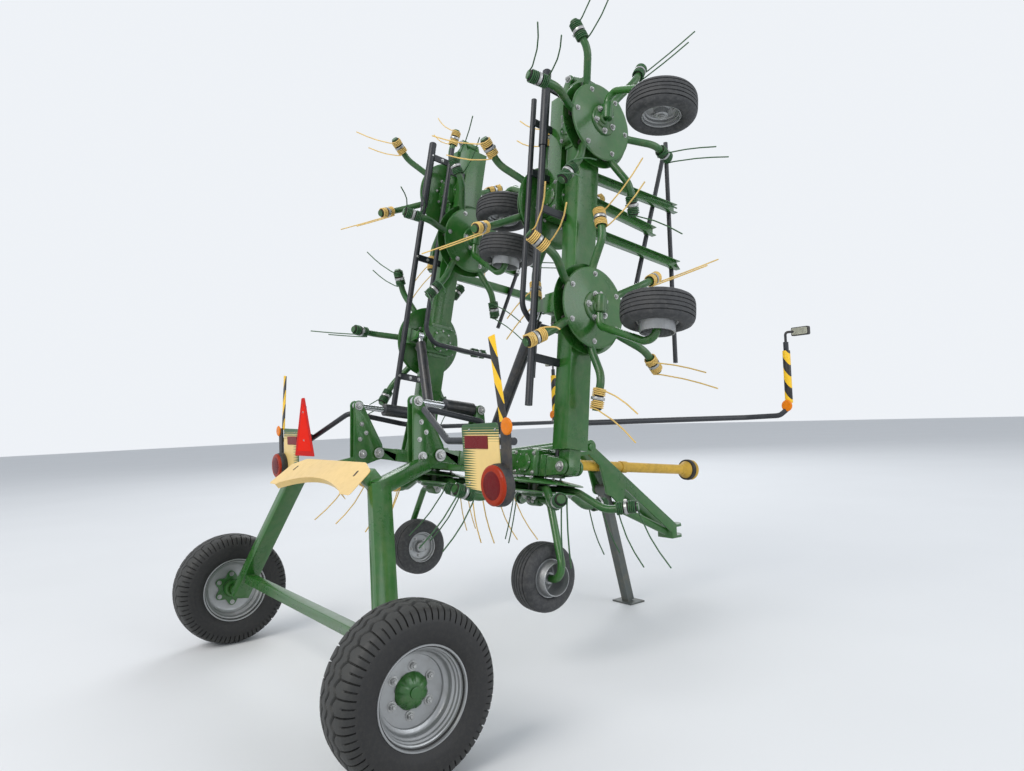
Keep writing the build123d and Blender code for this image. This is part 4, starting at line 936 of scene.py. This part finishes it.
chassisBolts = {  # Y, Z and size on the legs' faces
    "gap": 0.0343,
    "spots": ((0.584, 1.622, 0.020), (0.60, 1.50, 0.010), (0.585, 1.40, 0.010), (0.63, 1.44, 0.010),
              (0.60, 1.30, 0.020)),
}
bolts = [(machinePoint(side * machine["legX"] + s * chassisBolts["gap"], y, z), (s, 0, 0), size)
         for side in (1, -1) for s in (1, -1) for y, z, size in chassisBolts["spots"]]
newPiece("chassis_dress", easedNode("chassis", bolts, soft=0.004), "chassis", "green", "chassis")

plainNodes = [  # node, its body, slot, finish and how far its edges are eased
    ("drawbar", "frame", "green", "green", 0.003), ("stand", "stand", "grey", "standGrey", 0.003),
    ("main_gearbox", "frame", "grey", "cast", 0.004),
]
for barrels, rods in ((["lift_barrels"], ["lift_rods"]),
                      (["fold_barrel_right", "fold_barrel_left"], ["fold_rod_right", "fold_rod_left"])):
    plainNodes += [(node, node, "black", "barrel", 0.0) for node in barrels]
    plainNodes += [(node, node, "chrome", "chrome", 0.0) for node in rods]
for node, body, slot, finish, soft in plainNodes:
    newPiece(node + "_dress", dressed(still, (nodeShell(node, soft), finish)), body, slot, node)
print("beams and frame made")

# Guards: tubes behind the wings, over the front channels and round the outer arms
guardSizes = {
    "rail": [(0.33, -0.30, 0.04), (2.49, -0.30, 0.04)], "railRadius": 0.022, "sleeve": (1.965, 0.52),
    "longTube": [(0.83, 1.005, 0.0463), (2.46, 0.855, 0.0463)], "tubeRadius": 0.016,
    "shortTube": [(1.18, 0.555, 0.0463), (2.33, 0.828, 0.0463)],
    "stays": (0.62, 1.56, 2.38), "stayY": -0.1917, "stayBolts": (-0.125, -0.20),
    "crossings": ((1.53, 0.9406), (1.705, 0.6796), (1.95, 0.9019)),
    "bow": [(0.15, -0.235, -0.15), (1.579, -0.235, -0.15), (1.669, -0.145, -0.15), (1.669, 0.42, -0.15)],
    "bowRadius": 0.018, "bowStays": ((0.32, -0.1592, -0.134), (0.674, -0.1592, -0.134)),
}
stays, crossings = guardSizes["stays"], guardSizes["crossings"]
sleeveX, sleeveLength = guardSizes["sleeve"]
_, railY, railZ = guardSizes["rail"][0]
rail = tube(guardSizes["rail"], guardSizes["railRadius"], 0.01, 18, 1)
longTube = tube(guardSizes["longTube"], guardSizes["tubeRadius"], 0.01, 16, 1)
shortTube = tube(guardSizes["shortTube"], guardSizes["tubeRadius"], 0.01, 16, 1)
bow = tube(guardSizes["bow"], guardSizes["bowRadius"], 0.11, 16, 8)
topSleeve = ring("top sleeve", 0.0222, 0.0285, 0, sleeveLength, 0.003, 2, 24)
wingFlat, outerFlat = block("flat", 0.05, 0.2167, 0.016), block("flat", 0.05, 0.1517, 0.016)
tubeClamp = block("tube clamp", 0.040, 0.046, 0.014)
spots = [((x, y, 0.048), upward, 0.009) for x in stays for y in guardSizes["stayBolts"]]
spots += [((x, y, 0.0623), upward, 0.0075) for x, y in crossings]
spots += [((x, railY, railZ + 0.022), upward, 0.008) for x in stays]
for name, wing, outer in sides:
    sleevePlace = wing @ move(sleeveX, railY, railZ) @ alongX
    parts = [*dressed(wing, (rail, "grey")), *dressed(sleevePlace, (topSleeve, "grey")),
             *dressed(wing, (longTube, "grey"), (shortTube, "grey"))]
    for x in stays:
        parts += dressed(wing @ move(x, guardSizes["stayY"], railZ), (wingFlat, "grey"))
    for x, y in crossings:
        parts += dressed(wing @ move(x, y, 0.0553), (tubeClamp, "zinc"))
    parts += dressed(still, (screws(aimed(wing, spots)), "zinc"))
    newPiece("wing_guard_dress_" + name, parts, "wing_" + name, "anthracite", "wing_guard_" + name)
    parts = dressed(outer, (bow, "grey"))
    for stay in guardSizes["bowStays"]:
        parts += dressed(outer @ move(*stay), (outerFlat, "grey"))
    newPiece("outer_rail_dress_" + name, parts, "outer_" + name, "anthracite", "outer_rail_" + name)

# Cover over the axle legs: crowned cream panel with an arched, turned-in lower edge
coverSizes = {
    "middle": (0, 0.155, 1.215), "face": (0, -0.62, 0.785), "thick": 0.005, "low": -0.12, "arch": 0.09,
    "archHalf": 0.5, "steps": 24, "lip": 0.036, "lipTop": 0.004, "lipThick": 0.004,
    "slots": ((-0.44, 78), (0.44, 102)),  # each slot's place and its turn in degrees
    "rim": [(-0.5, -0.12), (-0.6, -0.12), (-0.57, 0.06), (-0.42, 0.12), (0.42, 0.12), (0.57, 0.06),
            (0.6, -0.12), (0.5, -0.12)],
}
coverPlace = placeAt(machinePoint(*coverSizes["middle"]), (1, 0, 0), coverSizes["face"])
half, steps, top, lip, thick = (coverSizes[key] for key in ("archHalf", "steps", "lipTop", "lip", "lipThick"))
archX = [half - 2 * half * k / steps for k in range(steps + 1)]
arch = [(x, coverSizes["low"] + coverSizes["arch"] * (1 - (x / half) ** 2)) for x in archX]
panel = plate("cover", softened(coverSizes["rim"], 0.02, 3) + arch[1:-1], coverSizes["thick"], 0.002)
lipPoints, lipFaces = [], []
for x, y in arch:
    lipPoints += [(x, y, top), (x, y + thick, top), (x, y + thick, -lip), (x, y, -lip)]
for k in range(0, 4 * len(arch) - 4, 4):
    for i, j in ((0, 1), (1, 2), (2, 3), (3, 0)):
        lipFaces.append((k + i, k + j, k + 4 + j, k + 4 + i))
last = len(lipPoints)
lipFaces += [(0, 1, 2, 3), (last - 1, last - 2, last - 3, last - 4)]
# Each slot is a flat dark sheet on the panel: painted shade in place of the opening
slotShadeSheet = panelOf("slot", 0.044, 0.018, 0.0015, 0.009, 4, 0.0005)
parts = dressed(coverPlace, (panel, "cream"), (fromLists("lip", lipPoints, lipFaces), "cream"))
for x, slotTurn in coverSizes["slots"]:
    parts += dressed(coverPlace @ move(x, 0.03, 0.0045) @ turn(slotTurn, "Z"), (slotShadeSheet, "rubber"))
newPiece("cover_dress", parts, "chassis", "cream", "cover")

# Marker arms and lamp carriers, with the stem of the triangle and the amber discs
contact = 0.0003  # what keeps two touching faces apart
marker = {"foot": (0.738, 0.03), "footZ": (0.0653, 0.266), "bends": ((1.04, 2.87, 1.44), (1.21, 3.03, 1.445)),
          "post": (1.25, 3.09), "postZ": (1.50, 1.96), "radius": 0.018, "discZ": 1.512}
board = {"left": 1.08, "right": 1.38, "low": 1.155, "high": 1.48, "y": 0.44, "thick": 0.006,
         "red": (0.19, 0.062), "redZ": 1.365, "screwZ": (1.455, 1.20)}
sign = {
    "x": 0.87, "y": 0.4, "thick": 0.003, "stem": 0.011, "stemTop": 1.64, "spots": (1.40, 1.60),
    "rim": [(-0.18, 1.29), (0.18, 1.29), (0.03, 1.70), (-0.03, 1.70)],
    "middle": [(-0.128, 1.324), (0.128, 1.324), (0.010, 1.655), (-0.010, 1.655)],
}
carrier = {
    "anchor": (0.4247, -0.356, 0.226), "reach": 0.06, "knee": (-0.8, 0.25), "ends": (0.92, 1.47), "z": 1.4,
    "y": board["y"] + board["thick"] + marker["radius"] + contact,
}
post = marker["post"]
markerRun = [framePlace @ Vector((*marker["foot"], z)) for z in marker["footZ"]]
markerRun += [machinePoint(*bend) for bend in marker["bends"]]
markerRun += [machinePoint(*post, z) for z in marker["postZ"]]
anchorX, *anchorSpot = carrier["anchor"]
bendX = anchorX + carrier["reach"]
carrierFoot = ((anchorX, *anchorSpot), (bendX, *anchorSpot), (bendX, *carrier["knee"]))
carrierRun = [framePlace @ Vector(spot) for spot in carrierFoot]
carrierRun += [machinePoint(x, carrier["y"], carrier["z"]) for x in carrier["ends"]]
markerTube = tube(markerRun, marker["radius"], 0.07, 14, 7)
carrierTube = tube(carrierRun, marker["radius"], 0.06, 14, 7)
knee, lampEnd = carrierRun[2], carrierRun[3]
rightX, leftX = (machinePoint(side * sign["x"], 0, 0).x for side in (1, -1))
stemFoot = knee + (lampEnd - knee) * ((rightX - knee.x) / (lampEnd.x - knee.x))
stemY = sign["y"] + sign["thick"] + contact + sign["stem"] - machine["middleY"]
stemRun = [(leftX, stemFoot.y, stemFoot.z), (leftX, stemY, stemFoot.z + 0.03),
           (leftX, stemY, sign["stemTop"])]
bracket = block("bracket", 0.04, 0.0237, 0.05)
discMount = block("disc mount", 0.030, 0.030, 0.012, 0.002)
amberRim = [(0, 0), (0.040, 0), (0.040, 0.006), (0.033, 0.010), (0, 0.0105)]
amberShape = turned("amber reflector", amberRim, 0.002, 2, 40)
parts = dressed(still, (tube(stemRun, sign["stem"], 0.02, 12, 4), "grey"))
for side in (1, -1):
    parts += dressed(mirrors[side], (markerTube, "grey"), (carrierTube, "grey"))
    for x in (board["left"] + 0.07, board["right"] - 0.06):
        parts += dressed(onSide(side, x, carrier["y"] - 0.0062, carrier["z"]), (bracket, "grey"))
    seat = onSide(side, post[0], post[1] - 0.0172, marker["discZ"]) @ standUp
    parts += dressed(seat @ move(z=0.004), (discMount, "grey"))
    parts += dressed(seat @ move(z=0.009), (amberShape, "amber"))
newPiece("marker_arms_dress", parts, "frame", "anthracite", "marker_arms")

# Lamp boards with a red reflector each
left, right, low, high = (board[key] for key in ("left", "right", "low", "high"))
boardRim = [(left, high), (right, high + 0.008), (right + 0.015, low), (left + 0.02, low + 0.02)]
boardPlate = plate("board", softened(boardRim, 0.02, 4), board["thick"])
redX, redZ = board["red"]
redRim = softened([(0, 0), (redX, 0), (redX, redZ), (0, redZ)], 0.004, 2)
redPlate = plate("red reflector", redRim, 0.005, 0.001)
screwTop, screwLow = board["screwZ"]
boardSpots = [((x, z, board["thick"]), upward, 0.0045)
              for x, z in ((left + 0.07, screwTop), (right - 0.02, screwTop), (left + 0.06, screwLow))]
parts = []
for side in (1, -1):
    face = onSide(side, 0, board["y"] + board["thick"], 0) @ standUp
    parts += dressed(face, (boardPlate, "board"))
    parts += dressed(face @ move(left + 0.03, board["redZ"], board["thick"] - 0.001), (redPlate, "reflector"))
    parts += dressed(still, (screws(aimed(face, boardSpots)), "zinc"))
newPiece("lamp_boards_dress", parts, "frame", "cream", "lamp_boards")

# Tail lamps: a round housing, an orange ring and a red stepped lens, with an amber disc above each
tailLamp = {
    "at": (1.402, 1.205), "mountX": 0.06, "mountZ": 1.34, "amberX": 0.083, "amberZ": 1.469,
    "housing": [(0, 0), (0.098, 0), (0.098, 0.030), (0.092, 0.048), (0, 0.048)],
    "ring": [(0.040, 0.046), (0.0925, 0.046), (0.0925, 0.055), (0.083, 0.062), (0.040, 0.063)],
    "lens": [(0, 0.046), (0.066, 0.046), (0.066, 0.0620), (0.060, 0.0650), (0.045, 0.0640), (0.038, 0.0655),
             (0.028, 0.0645), (0.018, 0.0658), (0, 0.0660)],
}
housing = turned("lamp housing", tailLamp["housing"], 0.006, 3, 56)
orangeRing = turned("orange ring", tailLamp["ring"], 0.002, 2, 56)
redCentre = lathe("red centre", tailLamp["lens"], 48)
mount = block("mount", 0.066, 0.0157, 0.30)
lampX, lampZ = tailLamp["at"]
parts = []
for side in (1, -1):
    rear = onSide(side, lampX, board["y"] - contact, lampZ) @ standUp
    mountPlace = onSide(side, right + tailLamp["mountX"], board["y"] - 0.0001, tailLamp["mountZ"])
    amberPlace = onSide(side, right + tailLamp["amberX"], board["y"] - 0.0078, tailLamp["amberZ"]) @ standUp
    parts += dressed(rear, (housing, "plastic"), (orangeRing, "orangeLens"), (redCentre, "redLens"))
    parts += dressed(mountPlace, (mount, "plastic")) + dressed(amberPlace, (amberShape, "amber"))
newPiece("tail_lamps_dress", parts, "frame", "lens", "tail_lamps")

# Striped posts: a flat bar above each rear lamp and a sleeve on each marker arm
postSizes = {"foot": (1.416, 0, 1.478), "head": (1.346, 0, 1.890), "flat": (0.05, 0.006), "sleeveZ": 1.53}
postFoot, postHead = Vector(postSizes["foot"]), Vector(postSizes["head"])
way, middle = postHead - postFoot, (postFoot + postHead) / 2
postY = carrier["y"] - marker["radius"] + 0.003
postPlace = placeAt(machinePoint(middle.x, postY, middle.z), (way.z, 0, -way.x), way)
rearPost = block("rear post", *postSizes["flat"], way.length, 0.0015)
frontSleeve = ring("front sleeve", 0.0184, 0.026, 0, 0.37, 0.003, 2, 28)
parts = []
for side in (1, -1):
    parts += dressed(mirrors[side] @ postPlace, (rearPost, "stripes"))
    parts += dressed(onSide(side, *post, postSizes["sleeveZ"]), (frontSleeve, "stripes"))
newPiece("warning_posts_dress", parts, "frame", "stripe", "warning_posts")

# Front lamps: a flat box with a clear glass on both faces, on a short stalk
frontLamp = {"at": (1.34, 3.12, 2.03), "box": (0.13, 0.06, 0.030, 0.012, 4, 0.003),
             "glass": (0.116, 0.048, 0.008, 0.01, 4, 0.002), "glassZ": (0.0285, -0.0055),
             "stalk": [(*post, 1.9603), (*post, 2.03), (1.31, 3.13, 2.03)], "stalkRadius": 0.009}
lampBox = panelOf("front lamp", *frontLamp["box"])
lampGlass = panelOf("front glass", *frontLamp["glass"])
stalk = tube([machinePoint(*spot) for spot in frontLamp["stalk"]], frontLamp["stalkRadius"], 0.02, 10, 4)
parts = []
for side in (1, -1):
    front = onSide(side, *frontLamp["at"]) @ turn(-90, "X")
    parts += dressed(front, (lampBox, "plastic"))
    for z in frontLamp["glassZ"]:
        parts += dressed(front @ move(z=z), (lampGlass, "whiteLens"))
    parts += dressed(mirrors[side], (stalk, "plastic"))
newPiece("front_lamps_dress", parts, "frame", "lens", "front_lamps")

# Slow-vehicle triangle on its stem
signPlate = plate("sign", softened(sign["rim"], 0.012, 3), sign["thick"], 0.0008)
signMiddle = plate("sign middle", sign["middle"], 0.0012, 0.0003)
signFace = Matrix.Translation(machinePoint(-sign["x"], sign["y"] + sign["thick"], 0)) @ standUp
signBolts = screws(aimed(signFace, [((0, z, sign["thick"]), upward, 0.005) for z in sign["spots"]]))
parts = [*dressed(signFace, (signPlate, "signRed")),
         *dressed(signFace @ move(z=0.0027), (signMiddle, "orangeRed")), *dressed(still, (signBolts, "zinc"))]
newPiece("warning_triangle_dress", parts, "frame", "reflector", "warning_triangle")

# Drive shaft: yellow guard that flares to a bell with a black ring, a rear collar and the steel yoke
shaftSizes = {
    "root": (0, 0.325, 0.035), "front": (0, 3.56, 0.98),
    "rear": [(0.0185, 0.035), (0.066, 0.030), (0.064, 0.05), (0.061, 0.052), (0.061, 0.07), (0.058, 0.09),
             (0.046, 0.12), (0.042, 0.15), (0.040, 0.16)],
    "bell": [(0.040, 0.150), (0.0445, 0.145), (0.0455, 0.118), (0.056, 0.106), (0.070, 0.086), (0.074, 0.078),
             (0.074, 0.034), (0.084, 0.030), (0.087, 0.020), (0.087, 0.006), (0.084, 0), (0.077, 0.002),
             (0.070, 0.030), (0.070, 0.074), (0.044, 0.104), (0.032, 0.110), (0.032, 0.140), (0.0185, 0.16)],
    "bellRing": [(0.0742, 0.080), (0.0885, 0.076), (0.0905, 0.040), (0.0742, 0.033)],
    "yoke": [(0, 0.07), (0.0175, 0.07), (0.0175, 0), (0.0305, 0), (0.0315, 0.004), (0.0315, 0.03),
             (0.028, 0.036), (0.028, 0.15), (0, 0.15)],
    "yokeLobes": (0, 0.05, 0.05, 0, 0, 0, 0, 0, 0),
}
shaftRoot = Vector(shaftSizes["root"])
shaftRun = framePlace.inverted() @ machinePoint(*shaftSizes["front"]) - shaftRoot
shaftPlace = framePlace @ placeAt(shaftRoot, (1, 0, 0), shaftRun)


def fromEnd(key):  # a profile whose heights are counted back from the front end
    return [(radius, shaftRun.length - back) for radius, back in shaftSizes[key]]


yokeLobes = shaftSizes["yokeLobes"]
guard = lathe("shaft guard", shaftSizes["rear"] + fromEnd("bell"), 48)
bellRing = turned("black bell ring", fromEnd("bellRing"), 0.005, 3, 48)
rearCollar = ring("rear collar", 0.0405, 0.052, 0.17, 0.23, 0.006, 3, 40)
joint = ring("middle joint", 0.0402, 0.047, 1.02, 1.09, 0.004, 3, 40)
yoke = lathe("yoke", fromEnd("yoke"), 36, lambda i, angle: 1 + yokeLobes[i] * math.cos(6 * angle))
parts = dressed(shaftPlace, (guard, "yellow"), (bellRing, "rubber"), (rearCollar, "rubber"),
                (joint, "yellow"), (yoke, "cast"))
newPiece("drive_shaft_dress", parts, "frame", "yellow", "drive_shaft")
print("lamps, cover and drive shaft made")

# Floor, light and backdrop
floorHalf = 60
floorShape = bpy.data.meshes.new("floor")
corners = [(x * floorHalf, y * floorHalf, 0) for x, y in ((-1, -1), (1, -1), (1, 1), (-1, 1))]
floorShape.from_pydata(corners, [], [(0, 1, 2, 3)])
floorShape.materials.append(finishOf("pale floor", (226, 227, 228), 0.8, tone=0.015, toneScale=0.5, dust=0.0,
                                     bump=0.02, grain=60))
floor = addObject("floor", floorShape)

lamps = {
    "key": {"spot": (3.4, -15.3, 13.4), "size": 10.2, "watts": 2080, "colour": (1.0, 0.97, 0.93)},
    "fill": {"spot": (16.1, 6.0, 7.4), "size": 11.9, "watts": 900, "colour": (0.93, 0.96, 1.0)},
    "back": {"spot": (-11.9, 10.2, 12.5), "size": 10.2, "watts": 1040, "colour": (0.96, 0.98, 1.0)},
}
lampTarget = Vector((0, 0, 1.6))
for name, facts in lamps.items():
    lamp = bpy.data.lights.new(name, "AREA")
    lamp.energy = facts["watts"]
    lamp.size = facts["size"]
    lamp.color = facts["colour"]
    away = Vector(facts["spot"]) - lampTarget
    addObject(name, lamp).matrix_world = placeAt(facts["spot"], away.cross(Vector(upward)), away)

sky = {"light": ((0.86, 0.92, 1.0, 1), 0.62), "seen": ((0.86, 0.89, 0.93, 1), 1.0)}  # colours and strengths
world = bpy.data.worlds.new("studio")
scene.world = world
world.use_nodes = True
tree = world.node_tree
tree.nodes.clear()
rays = put(tree, "ShaderNodeLightPath")
seen = out(rays, "Is Camera Ray")
for ray in ("Is Glossy Ray", "Is Transmission Ray"):
    seen = calc(tree, "MAXIMUM", seen, out(rays, ray))
mixed = put(tree, "ShaderNodeMixShader", {"Fac": seen})
for socket, (colour, strength) in zip(mixed.inputs[1:], sky.values()):
    tree.links.new(out(put(tree, "ShaderNodeBackground", {"Color": colour, "Strength": strength})), socket)
put(tree, "ShaderNodeOutputWorld", {"Surface": out(mixed)})
scene.view_settings.view_transform = "Standard"

bpy.data.objects.remove(boltHolder)
print("pieces:", len(faceCounts), "faces:", sum(faceCounts))
